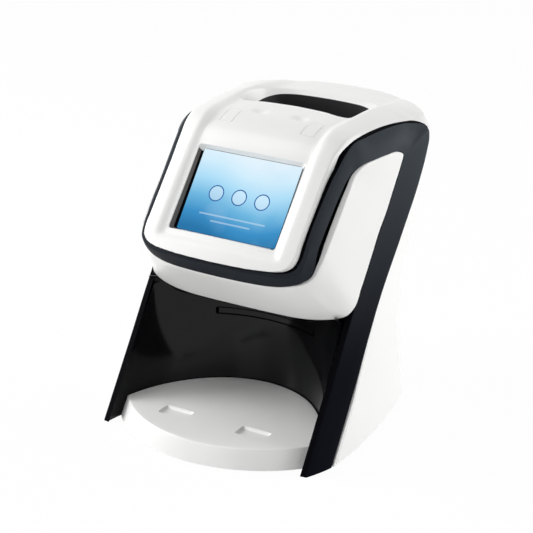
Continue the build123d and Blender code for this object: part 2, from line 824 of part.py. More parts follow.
deck_rear_y = deck_front_y + deck_length
for label, start in (("front_rail_block", deck_front_y),
                     ("rear_rail_block", deck_rear_y - rail_block_length)):
    with BuildPart() as rail_block:
        with BuildSketch(back_view.offset(-start)):
            with Locations((0, deck_top)):
                Rectangle(2 * rail_block_half_width, rail_block_height,
                          align=(Align.CENTER, Align.MIN))
            with Locations((-rod_x, rod_level), (rod_x, rod_level)):
                Circle(rod_radius, mode=Mode.SUBTRACT)
            with Locations((0, rod_level)):
                Circle(screw_radius + rod_fit, mode=Mode.SUBTRACT)
        extrude(amount=-rail_block_length)
    rail_block.part.label = label
    export_step(rail_block.part, "parts/%s.step" % label)

with BuildPart() as guide_rods:
    with BuildSketch(back_view.offset(-deck_front_y)):
        with Locations((-rod_x, rod_level), (rod_x, rod_level)):
            Circle(rod_radius)
    extrude(amount=-deck_length)
guide_rods.part.label = "guide_rods"

with BuildPart() as plate_carrier:
    saddle_rear_y = deck_rear_y - rail_block_length - saddle_gap
    saddle_front_y = saddle_rear_y - saddle_length
    with BuildSketch(Plane.XY.offset(carrier_level)):
        with Locations((0, saddle_rear_y)):
            Rectangle(carrier_width, saddle_rear_y - carrier_front_y,
                      align=(Align.CENTER, Align.MAX))
            Rectangle(2 * rod_x + saddle_width, saddle_length, align=(Align.CENTER, Align.MAX))
    extrude(amount=carrier_thickness)
    with BuildSketch(back_view.offset(-saddle_front_y)):
        with Locations((-rod_x, carrier_level), (0, carrier_level), (rod_x, carrier_level)):
            Rectangle(saddle_width, carrier_level - rod_level + saddle_width / 2 - 2,
                      align=(Align.CENTER, Align.MAX))
        with Locations((-rod_x, rod_level), (rod_x, rod_level)):
            Circle(rod_radius + rod_fit, mode=Mode.SUBTRACT)
        with Locations((0, rod_level)):
            Circle(screw_radius + rod_fit, mode=Mode.SUBTRACT)
    extrude(amount=-saddle_length)
    with BuildSketch(Plane.XY.offset(carrier_level + carrier_thickness)):
        with Locations((0, pocket_front_y)):
            Rectangle(pocket_width, pocket_length, align=(Align.CENTER, Align.MIN))
    extrude(amount=-pocket_depth, mode=Mode.SUBTRACT)
    add(bay(carrier_set_back), mode=Mode.SUBTRACT)
plate_carrier.part.label = "plate_carrier"

with BuildPart() as drive_motor:
    with BuildSketch(back_view.offset(-deck_rear_y)):
        with Locations((0, rod_level)):
            RectangleRounded(motor_size, motor_size, motor_corner)
    extrude(amount=-motor_length)
    with BuildSketch(back_view.offset(-deck_rear_y)):
        with Locations((0, rod_level)):
            Circle(screw_radius + rod_fit)
    extrude(amount=-motor_bore, mode=Mode.SUBTRACT)
drive_motor.part.label = "drive_motor"

with BuildPart() as drive_screw:
    with BuildSketch(back_view.offset(-deck_front_y)):
        with Locations((0, rod_level)):
            Circle(screw_radius)
    extrude(amount=-deck_length - motor_bore + fit_gap)
drive_screw.part.label = "drive_screw"

# Optics: plate on posts, light collector and tube, laser and spinning mirror, erase lamps
with BuildPart() as optics_plate:
    with BuildSketch(Plane.XY.offset(optics_level)):
        with Locations((0, optics_front_y)):
            Rectangle(2 * deck_half_width, optics_length, align=(Align.CENTER, Align.MIN))
        with Locations((0, scan_window_y)):
            Rectangle(scan_window_width, scan_window_length, mode=Mode.SUBTRACT)
    extrude(amount=optics_thickness)
    with BuildSketch(Plane.XY.offset(optics_level)):
        with Locations((-lamp_post_x, lamp_board_y), (lamp_post_x, lamp_board_y)):
            Circle(post_radius)
    extrude(amount=-lamp_drop)
optics_plate.part.label = "optics_plate"

with BuildPart() as optics_posts:
    with BuildSketch(Plane.XY.offset(deck_top)):
        with Locations(*post_spots):
            Circle(post_radius)
    extrude(amount=optics_level - deck_top)
optics_posts.part.label = "optics_posts"

with BuildPart() as light_collector:
    with BuildSketch(Plane.XY.offset(optics_top)):
        with Locations((0, scan_window_y)):
            Rectangle(scan_window_width, scan_window_length)
    with BuildSketch(Plane.XY.offset(collector_top)):
        with Locations((0, scan_window_y)):
            Rectangle(collector_top_width, collector_top_width)
    loft(ruled=True)
light_collector.part.label = "light_collector"

with BuildPart() as photomultiplier:
    with BuildSketch(Plane.XY.offset(collector_top)):
        with Locations((0, scan_window_y)):
            Circle(tube_radius)
    extrude(amount=tube_length)
photomultiplier.part.label = "photomultiplier"

with BuildPart() as mirror_motor:
    with BuildSketch(Plane.XY.offset(optics_top)):
        with Locations((mirror_x, mirror_y)):
            Circle(mirror_motor_radius)
    extrude(amount=mirror_motor_height)
    with BuildSketch(Plane.XY.offset(mirror_motor_top)):
        with Locations((mirror_x, mirror_y)):
            Circle(mirror_shaft_radius + rod_fit)
    extrude(amount=-mirror_shaft_depth - fit_gap, mode=Mode.SUBTRACT)
mirror_motor.part.label = "mirror_motor"

with BuildPart() as mirror_rotor:
    with BuildSketch(Plane.XY.offset(mirror_motor_top - mirror_shaft_depth)):
        with Locations((mirror_x, mirror_y)):
            Circle(mirror_shaft_radius)
    extrude(amount=mirror_shaft_depth + mirror_gap)
    with BuildSketch(Plane.XY.offset(mirror_level)):
        with Locations((mirror_x, mirror_y)):
            RegularPolygon(mirror_radius, mirror_facets)
    extrude(amount=mirror_height)
mirror_rotor.part.label = "mirror_rotor"

with BuildPart() as laser_module:
    beam_level = mirror_level + mirror_height / 2
    with BuildSketch(Plane.XY.offset(optics_top)):
        with Locations((laser_x, mirror_y)):
            Rectangle(laser_block, laser_block)
    extrude(amount=beam_level - optics_top)
    with BuildSketch(side_view.offset(laser_x)):
        with Locations((mirror_y, beam_level)):
            Circle(laser_radius)
    extrude(amount=laser_length / 2, both=True)
laser_module.part.label = "laser_module"

with BuildPart() as erase_lamp_board:
    with BuildSketch(Plane.XY.offset(optics_level - lamp_drop)):
        with Locations((0, lamp_board_y)):
            Rectangle(scan_window_width, lamp_board_length)
    extrude(amount=-board_thickness)
    with BuildSketch(Plane.XY.offset(optics_level - lamp_drop - board_thickness)):
        with Locations((0, lamp_board_y)):
            with GridLocations(scan_window_width / lamp_count, 0, lamp_count, 1):
                Rectangle(lamp_size, lamp_size)
    extrude(amount=-lamp_height)
erase_lamp_board.part.label = "erase_lamp_board"

# Boards
with BuildPart() as mainboard:
    with BuildSketch(back_view.offset(-main_board_y)):
        with Locations((0, (main_board_bottom + main_board_top) / 2)):
            Rectangle(2 * main_board_half_width, main_board_top - main_board_bottom)
        with Locations(*board_spots):
            Circle(screw_shank_radius, mode=Mode.SUBTRACT)
    extrude(amount=-board_thickness)
    with BuildSketch(back_view.offset(-main_board_y)):
        with Locations((0, (main_board_bottom + main_board_top) / 2)):
            with GridLocations(1.5 * chip_size, 1.5 * chip_size, 2, 2):
                Rectangle(chip_size, chip_size)
    extrude(amount=chip_height)
mainboard.part.label = "mainboard"

with BuildPart() as io_board:
    with BuildSketch(Plane.XY.offset(port_board_level)):
        with Locations((port_board_x, port_board_y)):
            Rectangle(port_board_width, port_board_length)
    extrude(amount=board_thickness)
io_board.part.label = "io_board"

# Ports on the board, their faces just proud of the wall of the recess
with BuildPart() as network_port:
    with BuildSketch(back_view.offset(-port_face_y)):
        with Locations((network_x, port_board_top)):
            Rectangle(network_width, network_height, align=(Align.CENTER, Align.MIN))
    extrude(amount=port_depth)
    with BuildSketch(back_view.offset(-port_face_y)):
        with Locations((network_x, port_board_top + network_height / 2)):
            Rectangle(network_socket_width, network_socket_height)
    extrude(amount=socket_depth, mode=Mode.SUBTRACT)
network_port.part.label = "network_port"

with BuildPart() as usb_port:
    with BuildSketch(back_view.offset(-port_face_y)):
        with Locations((usb_x, port_board_top)):
            Rectangle(usb_width, usb_height, align=(Align.CENTER, Align.MIN))
    extrude(amount=port_depth)
    with BuildSketch(back_view.offset(-port_face_y)):
        with Locations((usb_x, port_board_top + usb_height / 2)):
            Rectangle(usb_width - 2 * usb_wall, usb_height - 2 * usb_wall)
            Rectangle(usb_width - 2 * usb_wall - 2 * usb_gap, usb_height - 2 * usb_wall - 2 * usb_gap,
                      mode=Mode.SUBTRACT)
    extrude(amount=socket_depth, mode=Mode.SUBTRACT)
usb_port.part.label = "usb_port"

with BuildPart() as power_inlet:
    with BuildSketch(back_view.offset(-port_face_y)):
        with Locations((inlet_x, port_board_top)):
            Rectangle(inlet_size, inlet_size, align=(Align.CENTER, Align.MIN))
    extrude(amount=port_depth)
    with BuildSketch(back_view.offset(-port_face_y)):
        with Locations((inlet_x, port_board_top + inlet_size / 2)):
            Circle(inlet_bore)
            Circle(inlet_pin, mode=Mode.SUBTRACT)
    extrude(amount=socket_depth, mode=Mode.SUBTRACT)
power_inlet.part.label = "power_inlet"

# Power switch: a housing and the rocker, a segment of a circle about its pin
with BuildPart() as switch_housing:
    opening_x = rocker_width + 2 * rocker_gap
    opening_z = rocker_height + 2 * rocker_gap
    with BuildSketch(back_view.offset(-port_face_y)):
        with Locations((rocker_x, rocker_level)):
            Rectangle(opening_x + 2 * switch_wall, opening_z + 2 * switch_wall)
    extrude(amount=switch_depth)
    with BuildSketch(back_view.offset(-port_face_y)):
        with Locations((rocker_x, rocker_level)):
            Rectangle(opening_x, opening_z)
    extrude(amount=switch_depth - switch_wall, mode=Mode.SUBTRACT)
    with BuildSketch(side_view.offset(rocker_x)):
        with Locations((rocker_pivot_y, rocker_level)):
            Circle(rocker_pin_radius + rod_fit)
    extrude(amount=opening_x, both=True, mode=Mode.SUBTRACT)
switch_housing.part.label = "switch_housing"

with BuildPart() as power_rocker:
    with BuildSketch(side_view.offset(rocker_x)):
        with Locations((rocker_pivot_y, rocker_level)):
            Circle(rocker_height / 2)
        with Locations((rocker_pivot_y - rocker_back, rocker_level)):
            Rectangle(rocker_back + rocker_sink + rocker_proud, rocker_height,
                      align=(Align.MIN, Align.CENTER), mode=Mode.INTERSECT)
    extrude(amount=rocker_width / 2, both=True)
    with BuildSketch(side_view.offset(rocker_x)):
        with Locations((rocker_pivot_y, rocker_level)):
            Circle(rocker_pin_radius)
    extrude(amount=rocker_width / 2 + rocker_gap + switch_wall, both=True)
power_rocker.part.label = "power_rocker"

# Twelve like screws: display ears, main board and base
with BuildPart() as pan_head_screws:
    seats = [Plane(origin=face_plane.offset(-ear_thickness).from_local_coords((x, y, 0)),
                   z_dir=-face_plane.z_dir) for x, y in ear_spots]
    seats += [Plane(origin=(x, main_board_y, z), z_dir=(0, -1, 0)) for x, z in board_spots]
    seats += [Plane(origin=(x, y, shell_bottom + screw_head_height), z_dir=(0, 0, -1))
              for x, y in base_spots]
    with Locations(*seats):
        Cylinder(screw_head_radius, screw_head_height,
                 align=(Align.CENTER, Align.CENTER, Align.MIN))
        Cylinder(screw_shank_radius, screw_length,
                 align=(Align.CENTER, Align.CENTER, Align.MAX))
pan_head_screws.part.label = "pan_head_screws"

for piece in (top_cover, dark_frame, front_shell, rear_cover, cavity_liner, receiving_tray,
              base_plate, rubber_feet, handle_pocket, screen_glass, lcd_panel, display_frame,
              display_board, scan_deck, deck_posts, guide_rods, plate_carrier, drive_motor,
              drive_screw, optics_plate, optics_posts, light_collector, photomultiplier,
              mirror_motor, mirror_rotor, laser_module, erase_lamp_board, mainboard, io_board,
              network_port, usb_port, power_inlet, switch_housing, power_rocker,
              pan_head_screws):
    export_step(piece.part, "parts/%s.step" % piece.part.label)
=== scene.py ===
"""Looks of the phosphor plate scanner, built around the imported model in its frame.

Lengths are written in millimetres and turned into metres when a mesh is made.
X is to the right of a person facing the screen, Y to the back, Z up.
"""

from math import acos, asin, cos, pi, radians, sin

import bmesh
import bpy
from mathutils import Matrix, Vector
from mathutils.geometry import delaunay_2d_cdt


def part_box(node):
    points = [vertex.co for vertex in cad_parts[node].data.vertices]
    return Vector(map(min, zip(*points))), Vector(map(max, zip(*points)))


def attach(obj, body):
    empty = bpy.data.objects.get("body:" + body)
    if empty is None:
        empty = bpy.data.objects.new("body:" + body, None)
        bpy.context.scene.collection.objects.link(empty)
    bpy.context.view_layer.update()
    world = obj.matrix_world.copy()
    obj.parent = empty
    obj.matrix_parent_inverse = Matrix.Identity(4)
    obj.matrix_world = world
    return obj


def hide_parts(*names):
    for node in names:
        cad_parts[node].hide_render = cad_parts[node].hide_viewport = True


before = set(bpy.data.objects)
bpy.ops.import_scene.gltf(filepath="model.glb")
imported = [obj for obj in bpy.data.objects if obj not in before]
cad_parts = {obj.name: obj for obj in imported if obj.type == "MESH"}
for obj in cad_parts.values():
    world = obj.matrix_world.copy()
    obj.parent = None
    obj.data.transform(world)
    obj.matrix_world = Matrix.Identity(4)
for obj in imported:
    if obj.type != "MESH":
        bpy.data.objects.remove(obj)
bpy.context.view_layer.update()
MM = 0.001


# ---- curves and meshes
def curve(points):
    """A function of the station number whose values run smoothly through the points."""
    pts = [Vector(p) for p in points]
    gaps = [max((b - a).length, 1e-6) for a, b in zip(pts, pts[1:])]
    slopes = [(b - a) / g for a, b, g in zip(pts, pts[1:], gaps)]
    tangents = [slopes[0]]
    for i in range(1, len(pts) - 1):
        tangents.append((slopes[i - 1] * gaps[i] + slopes[i] * gaps[i - 1])
                        / (gaps[i - 1] + gaps[i]))
    tangents.append(slopes[-1])

    def at(u):
        i = max(0, min(int(u), len(pts) - 2))
        t = u - i
        return (pts[i] * ((1 + 2 * t) * (1 - t) ** 2)
                + tangents[i] * (gaps[i] * t * (1 - t) ** 2)
                + pts[i + 1] * (t * t * (3 - 2 * t))
                + tangents[i + 1] * (gaps[i] * t * t * (t - 1)))
    return at


def value_curve(values):
    """A function of the station number that runs smoothly through plain numbers."""
    line = curve([(v, 0, 0) for v in values])
    return lambda u: line(u).x


def spaced(points, step):
    """The line through the points, resampled at about the given spacing."""
    at = [0]
    for a, b in zip(points, points[1:]):
        at.append(at[-1] + (b - a).length)
    count = max(2, round(at[-1] / step) + 1)
    made, i = [], 0
    for k in range(count):
        s = at[-1] * k / (count - 1)
        while i < len(points) - 2 and at[i + 1] < s:
            i += 1
        made.append(points[i].lerp(points[i + 1], (s - at[i]) / max(at[i + 1] - at[i], 1e-9)))
    return made


def smooth_line(points, step):
    """An evenly spaced smooth line through the points."""
    line = curve(points)
    dense = [line(k / 24) for k in range(24 * (len(points) - 1) + 1)]
    return spaced(dense, step)


EIGHTHS = [k / 8 for k in range(9)]
QUARTERS = (0, 0.25, 0.5, 0.75, 1)
THIRDS = (0, 0.3, 0.6, 1)    # nearly


def turn(a, b, c, shares):
    """Points at the shares of a round turn from a to c, drawn towards the corner b."""
    return [a * (1 - t) ** 2 + b * (2 * t * (1 - t)) + c * t * t for t in shares]


def rounded(corners, cuts, step, closed=True):
    """The outline through the corners, each rounded from its cut length on either side."""
    pts = [Vector(c) for c in corners]
    made = []
    for i, p in enumerate(pts):
        cut = cuts[i]
        if cut == 0 or (not closed and i in (0, len(pts) - 1)):
            made.append(p)
            continue
        before = (pts[i - 1] - p).normalized() * cut
        after = (pts[(i + 1) % len(pts)] - p).normalized() * cut
        made.extend(turn(p + before, p, p + after, EIGHTHS))
    if closed:
        made.append(made[0])
    line = spaced(made, step)
    return line[:-1] if closed else line


def table(pairs):
    """A function that runs smoothly through (place, value) pairs and is level outside them."""
    def at(x):
        if x <= pairs[0][0]:
            return pairs[0][1]
        for (a, va), (b, vb) in zip(pairs, pairs[1:]):
            if x <= b:
                t = (x - a) / (b - a)
                return va + (vb - va) * t * t * (3 - 2 * t)
        return pairs[-1][1]
    return at


def ramp(x, low, high):
    """0 below low, 1 above high, and smooth between them."""
    t = min(1, max(0, (x - low) / (high - low)))
    return t * t * (3 - 2 * t)


def inset(loop, distance):
    """A closed flat outline moved inward, or outward by a negative distance."""
    area = sum(a.x * b.y - b.x * a.y for a, b in zip(loop, loop[1:] + loop[:1]))
    side = 1 if area > 0 else -1
    made = []
    for i, p in enumerate(loop):
        run = (loop[(i + 1) % len(loop)] - loop[i - 1]).normalized()
        made.append(p + Vector((-run.y, run.x)) * distance * side)
    return made


def both_sides(right):
    """A closed run along the right side's points and back along their mirror images."""
    return right + [Vector((-p.x, *p[1:])) for p in reversed(right[1:-1])]


def level(points, z):
    """The points of a flat outline at a height."""
    return [Vector((p.x, p.y, z)) for p in points]


def within(p, loop):
    """Whether a flat point lies in a closed outline."""
    inside = False
    for a, b in zip(loop, loop[1:] + loop[:1]):
        if (a.y > p.y) != (b.y > p.y) and p.x < a.x + (b.x - a.x) * (p.y - a.y) / (b.y - a.y):
            inside = not inside
    return inside


def clearance(p, loops):
    """The least distance from a flat point to the corners of the outlines."""
    return min((p - q).length for loop in loops for q in loop)


class Shell:
    """Vertices and faces gathered from grids and flat-mapped sheets."""

    def __init__(self):
        self.verts, self.faces = [], []

    def grid(self, rows, closed=False, flip=False):
        start, width = len(self.verts), len(rows[0])
        for row in rows:
            self.verts.extend(Vector(p) for p in row)
        for i in range(len(rows) - 1):
            for j in range(width if closed else width - 1):
                k = (j + 1) % width
                face = (start + i * width + j, start + i * width + k,
                        start + (i + 1) * width + k, start + (i + 1) * width + j)
                self.faces.append(face[::-1] if flip else face)
        return self

    def sheet(self, outer, holes, place, step, fine=()):
        """Fills a flat outline with triangles and puts its points where place says.

        Each entry of fine is (low corner, high corner, step) of an area with closer points.
        """
        loops = [outer, *holes]
        flat, edges = [], []
        for loop in loops:
            first = len(flat)
            flat.extend(loop)
            edges.extend((first + k, first + (k + 1) % len(loop)) for k in range(len(loop)))
        low = Vector((min(p.x for p in outer), min(p.y for p in outer)))
        high = Vector((max(p.x for p in outer), max(p.y for p in outer)))
        spots = []
        for corner, far, pitch in [(low, high, step), *fine]:
            corner, far = Vector(corner), Vector(far)
            nx = int((far.x - corner.x) / pitch) + 1
            ny = int((far.y - corner.y) / pitch) + 1
            for i in range(nx):
                for j in range(ny):
                    p = corner + Vector(((i + 0.5) * pitch, (j + 0.5) * pitch))
                    if pitch == step and any(a[0] <= p.x <= b[0] and a[1] <= p.y <= b[1]
                                             for a, b, _ in fine):
                        continue
                    if (within(p, outer) and not any(within(p, hole) for hole in holes)
                            and clearance(p, loops) > 0.55 * pitch):
                        spots.append(p)
        points, _, faces, _, _, _ = delaunay_2d_cdt(flat + spots, edges, [], 0, 1e-6)
        start = len(self.verts)
        self.verts.extend(Vector(place(p.x, p.y)) for p in points)
        for face in faces:
            middle = sum((points[k] for k in face), Vector((0, 0))) / len(face)
            if within(middle, outer) and not any(within(middle, hole) for hole in holes):
                self.faces.append(tuple(start + k for k in face))
        return self

    def mirrored(self):
        """Adds the mirror image across the plane of symmetry."""
        start = len(self.verts)
        self.verts.extend([Vector((-v.x, v.y, v.z)) for v in self.verts])
        self.faces.extend([tuple(start + k for k in reversed(f)) for f in self.faces])
        return self


def placed(name, data):
    """A new object in the scene."""
    made = bpy.data.objects.new(name, data)
    bpy.context.scene.collection.objects.link(made)
    return made


def piece(name, shell, material, body="casing", node=None, merge=0.02, sharp=40):
    """Makes a piece from a shell, smooth up to the sharp angle, and puts it on its body."""
    mesh = bpy.data.meshes.new(name)
    mesh.from_pydata([v * MM for v in shell.verts], [], shell.faces)
    form = bmesh.new()
    form.from_mesh(mesh)
    if merge:
        bmesh.ops.remove_doubles(form, verts=form.verts, dist=merge * MM)
    bmesh.ops.recalc_face_normals(form, faces=form.faces)
    for face in form.faces:
        face.smooth = True
    for edge in form.edges:
        if len(edge.link_faces) == 2 and edge.calc_face_angle(0) > radians(sharp):
            edge.smooth = False
    form.to_mesh(mesh)
    form.free()
    made = placed(name, mesh)
    mesh.materials.append(material)
    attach(made, body)
    if node:
        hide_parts(node)
    return made


def roll(inner, edge, outer, count=5):
    """Rows that turn a corner from the inner line to the outer one, round under the edge line."""
    shares = [k / count for k in range(count + 1)]
    columns = [turn(a, b, c, shares) for a, b, c in zip(inner, edge, outer)]
    return [list(row) for row in zip(*columns)]


def between(start, end, shares):
    """Rows at the shares of the way from one line to another."""
    return [[a.lerp(b, share) for a, b in zip(start, end)] for share in shares]


# ---- materials
def set_inputs(node, values):
    """Gives the named inputs of a node their plain values."""
    for name, value in values.items():
        node.inputs[name].default_value = value


def blank_material(name):
    """A new material, its nodes and links, and its main shader."""
    made = bpy.data.materials.new(name)
    made.use_nodes = True
    nodes, links = made.node_tree.nodes, made.node_tree.links
    return made, nodes, links, nodes["Principled BSDF"]


def noise(nodes, links, place, scale, detail):
    """A noise texture over the object's own coordinates."""
    made = nodes.new("ShaderNodeTexNoise")
    set_inputs(made, {"Scale": scale, "Detail": detail})
    links.new(place.outputs["Object"], made.inputs["Vector"])
    return made.outputs["Fac"]


def spread(nodes, links, value, low, high):
    """Maps a value from 0 to 1 onto the range from low to high."""
    made = nodes.new("ShaderNodeMapRange")
    set_inputs(made, {"To Min": low, "To Max": high})
    links.new(value, made.inputs["Value"])
    return made.outputs["Result"]


def blend(nodes, links, share, under, over, kind="MIX"):
    """Mixes two colours by a share; each of the three is a socket or a value."""
    made = nodes.new("ShaderNodeMix")
    made.data_type, made.blend_type = "RGBA", kind
    for k, value in ((0, share), (6, under), (7, over)):
        if isinstance(value, bpy.types.NodeSocket):
            links.new(value, made.inputs[k])
        else:
            made.inputs[k].default_value = value
    return made.outputs[2]


def material(name, colour, rough, metal=0, coat=0, coat_rough=0.1, specular=0.5,
             grain=900, bump=0.02, vary=0.02, rough_vary=0.04, upper=None):
    """A procedural finish: fine moulded grain, slight drift of colour and of roughness.

    upper is (colour, low level, high level) of a tone that the base colour fades into with height:
    a painted sheen.
    """
    made, nodes, links, shader = blank_material(name)
    set_inputs(shader, {"Metallic": metal, "Coat Weight": coat, "Coat Roughness": coat_rough,
                        "Specular IOR Level": specular})
    place = nodes.new("ShaderNodeTexCoord")
    tint = nodes.new("ShaderNodeValToRGB")
    tint.color_ramp.elements[0].position = 0.3
    tint.color_ramp.elements[1].position = 0.7
    tint.color_ramp.elements[0].color = (*[max(0, c * (1 - vary)) for c in colour], 1)
    tint.color_ramp.elements[1].color = (*[min(1, c * (1 + vary)) for c in colour], 1)
    links.new(noise(nodes, links, place, 14, 3), tint.inputs["Fac"])
    colour = tint.outputs["Color"]
    # Painted sheen: the base colour grows lighter towards the upper tone with height.
    if upper:
        split = nodes.new("ShaderNodeSeparateXYZ")
        links.new(place.outputs["Object"], split.inputs[0])
        fade = nodes.new("ShaderNodeMapRange")
        fade.interpolation_type = "SMOOTHSTEP"
        set_inputs(fade, {"From Min": upper[1] * MM, "From Max": upper[2] * MM})
        links.new(split.outputs["Z"], fade.inputs["Value"])
        colour = blend(nodes, links, fade.outputs["Result"], colour, (*upper[0], 1))
    links.new(colour, shader.inputs["Base Color"])
    fine = noise(nodes, links, place, grain, 2)
    low, high = max(0.02, rough - rough_vary), min(1, rough + rough_vary)
    links.new(spread(nodes, links, fine, low, high), shader.inputs["Roughness"])
    relief = nodes.new("ShaderNodeBump")
    set_inputs(relief, {"Strength": bump, "Distance": 0.0002})
    links.new(fine, relief.inputs["Height"])
    links.new(relief.outputs["Normal"], shader.inputs["Normal"])
    return made


GLASS_HALF, GLASS_LONG = 45.7, 68.7      # half width and sloping height of the lit window
GLASS_FOOT_Z, GLASS_RISE = 165.9, 53.9   # level of its lower edge, and its rise


def screen_material():
    """A lit start screen: pale sky over deep blue, with soft level waves and three round tiles."""
    made, nodes, links, shader = blank_material("lit_screen")
    set_inputs(shader, {"Specular IOR Level": 0.12, "Emission Strength": 1})

    def math(kind, a, b=None, c=None):
        node = nodes.new("ShaderNodeMath")
        node.operation = kind
        for socket, value in zip(node.inputs, (a, b, c)):
            if value is None:
                continue
            if isinstance(value, (int, float)):
                socket.default_value = value
            else:
                links.new(value, socket)
        return node.outputs[0]

    place = nodes.new("ShaderNodeTexCoord")
    split = nodes.new("ShaderNodeSeparateXYZ")
    links.new(place.outputs["Object"], split.inputs[0])
    across = split.outputs["X"]
    up = math("DIVIDE", math("SUBTRACT", split.outputs["Z"], GLASS_FOOT_Z * MM), GLASS_RISE * MM)
    wave = math("MULTIPLY", math("SINE", math("MULTIPLY_ADD", across, 62, 0.6)), 0.07)
    sky = nodes.new("ShaderNodeValToRGB")
    stops = [(0, (0.012, 0.16, 0.37)), (0.18, (0.035, 0.26, 0.54)), (0.38, (0.14, 0.44, 0.7)),
             (0.6, (0.38, 0.68, 0.88)), (0.8, (0.6, 0.8, 0.92)), (1, (0.72, 0.84, 0.92))]
    ramp_stops = sky.color_ramp.elements
    for k, (spot, colour) in enumerate(stops):
        stop = ramp_stops[k] if k < 2 else ramp_stops.new(spot)
        stop.position = spot
        stop.color = (*colour, 1)
    links.new(math("ADD", up, wave), sky.inputs["Fac"])
    mist = noise(nodes, links, place, 34, 1)
    haze = math("MULTIPLY", math("SUBTRACT", mist, 0.5), 0.9)
    colour = blend(nodes, links, haze, sky.outputs["Color"], (0.42, 0.68, 0.88, 1))

    def painted(mask, tint, under):
        return blend(nodes, links, mask, under, (*tint, 1))

    tile = 0.0068
    for centre in (-0.021, 0, 0.021):
        dx = math("DIVIDE", math("SUBTRACT", across, centre), tile)
        dz = math("DIVIDE", math("SUBTRACT", up, 0.5), tile / (GLASS_LONG * MM))
        far = math("SQRT", math("ADD", math("MULTIPLY", dx, dx), math("MULTIPLY", dz, dz)))
        ring = math("LESS_THAN", math("ABSOLUTE", math("SUBTRACT", far, 0.93)), 0.07)
        colour = painted(ring, (0.02, 0.12, 0.36), colour)
        disc = math("MULTIPLY", math("LESS_THAN", far, 0.86), 0.35)
        colour = painted(disc, (0.85, 0.93, 0.98), colour)
    for row, reach in ((0.24, 0.03), (0.17, 0.018)):
        line = math("MULTIPLY",
                    math("LESS_THAN", math("ABSOLUTE", math("SUBTRACT", up, row)), 0.01),
                    math("LESS_THAN", math("ABSOLUTE", across), reach))
        colour = painted(math("MULTIPLY", line, 0.3), (0.8, 0.9, 0.97), colour)
    border = math("GREATER_THAN", math("ABSOLUTE", across), 0.045)
    low_edge = math("LESS_THAN", up, 0.004)
    high_edge = math("GREATER_THAN", up, 0.996)
    frame_mask = math("MAXIMUM", border, math("MAXIMUM", low_edge, high_edge))
    colour = painted(frame_mask, (0.003, 0.003, 0.004), colour)
    unlit = blend(nodes, links, 1, colour, (0.06, 0.06, 0.06, 1), "MULTIPLY")
    links.new(unlit, shader.inputs["Base Color"])
    links.new(colour, shader.inputs["Emission Color"])
    smudge = noise(nodes, links, place, 60, 2)
    links.new(spread(nodes, links, smudge, 0.13, 0.2), shader.inputs["Roughness"])
    return made


white = material("white_plastic_finish", (0.87, 0.87, 0.86), 0.34, coat=0.25, coat_rough=0.18,
                 specular=0.4, bump=0.03, vary=0.006)
# The dark loop's near black fades to slate towards the top. That slate is a painted sheen, standing
# in for the sky's reflection.
dark = material("anthracite_painted_sheen", (0.001, 0.0015, 0.0045), 0.38, specular=0.03, bump=0.04,
                vary=0.08, upper=((0.044, 0.052, 0.061), 60, 250))
# Matte black: painted shade on the dark loop's ledge and groove, and the black row beside the
# screen's glass.
shade_and_border_black = material("shade_and_screen_border_black", (0.001, 0.001, 0.002), 0.6, specular=0.02,
                       bump=0.05, vary=0.1)
gloss = material("black_gloss_finish", (0.005, 0.0052, 0.006), 0.1, specular=0.2,
                 bump=0.008, vary=0.05, rough_vary=0.02)
black = material("black_plastic_finish", (0.008, 0.008, 0.009), 0.5, bump=0.08, vary=0.1)
brown_black = material("screen_gasket_finish", (0.085, 0.074, 0.064), 0.45, bump=0.05, vary=0.1)
rubber = material("rubber_finish", (0.02, 0.02, 0.021), 0.8, bump=0.15, grain=600, vary=0.15)
steel = material("steel_finish", (0.55, 0.56, 0.58), 0.28, metal=1, bump=0.02)
aluminium = material("aluminium_finish", (0.72, 0.73, 0.74), 0.42, metal=1, grain=500, bump=0.05)
board = material("board_finish", (0.01, 0.12, 0.045), 0.45, coat=0.3, grain=300, vary=0.2)
clear = material("clear_plastic_finish", (0.75, 0.8, 0.83), 0.12, coat=0.3, bump=0.01)
facets = material("mirror_facet_finish", (0.85, 0.86, 0.88), 0.06, metal=1, bump=0.005,
                  rough_vary=0.02)
picture = screen_material()


# ---- the top cover's profile
profile = rounded([(-95.8, 155), (-17.5, 246.5), (58, 248.5), (137, 234.9)],
                  [0, 20, 14, 0], 0.5, closed=False)
profile_at = [0]
for before, after in zip(profile, profile[1:]):
    profile_at.append(profile_at[-1] + (after - before).length)


def profile_point(t):
    """Point (Y, Z) and outward direction of the profile at a distance along it."""
    i = min(max(int(t / profile_at[-1] * (len(profile) - 1)), 0), len(profile) - 2)
    a, b = profile[i], profile[i + 1]
    share = (t - profile_at[i]) / (profile_at[i + 1] - profile_at[i])
    low, high = profile[max(i - 4, 0)], profile[min(i + 5, len(profile) - 1)]
    run = (high - low).normalized()
    return a.lerp(b, share), Vector((-run.y, run.x))


def along_profile(y, z):
    """Distance along the profile of its nearest point."""
    best = min(range(len(profile)), key=lambda k: (profile[k] - Vector((y, z))).length)
    if best in (0, len(profile) - 1):
        end = 0 if best == 0 else len(profile) - 1
        run = (profile[1] - profile[0]) if best == 0 else (profile[-1] - profile[-2])
        return profile_at[end] + (Vector((y, z)) - profile[end]).dot(run.normalized())
    return profile_at[best]


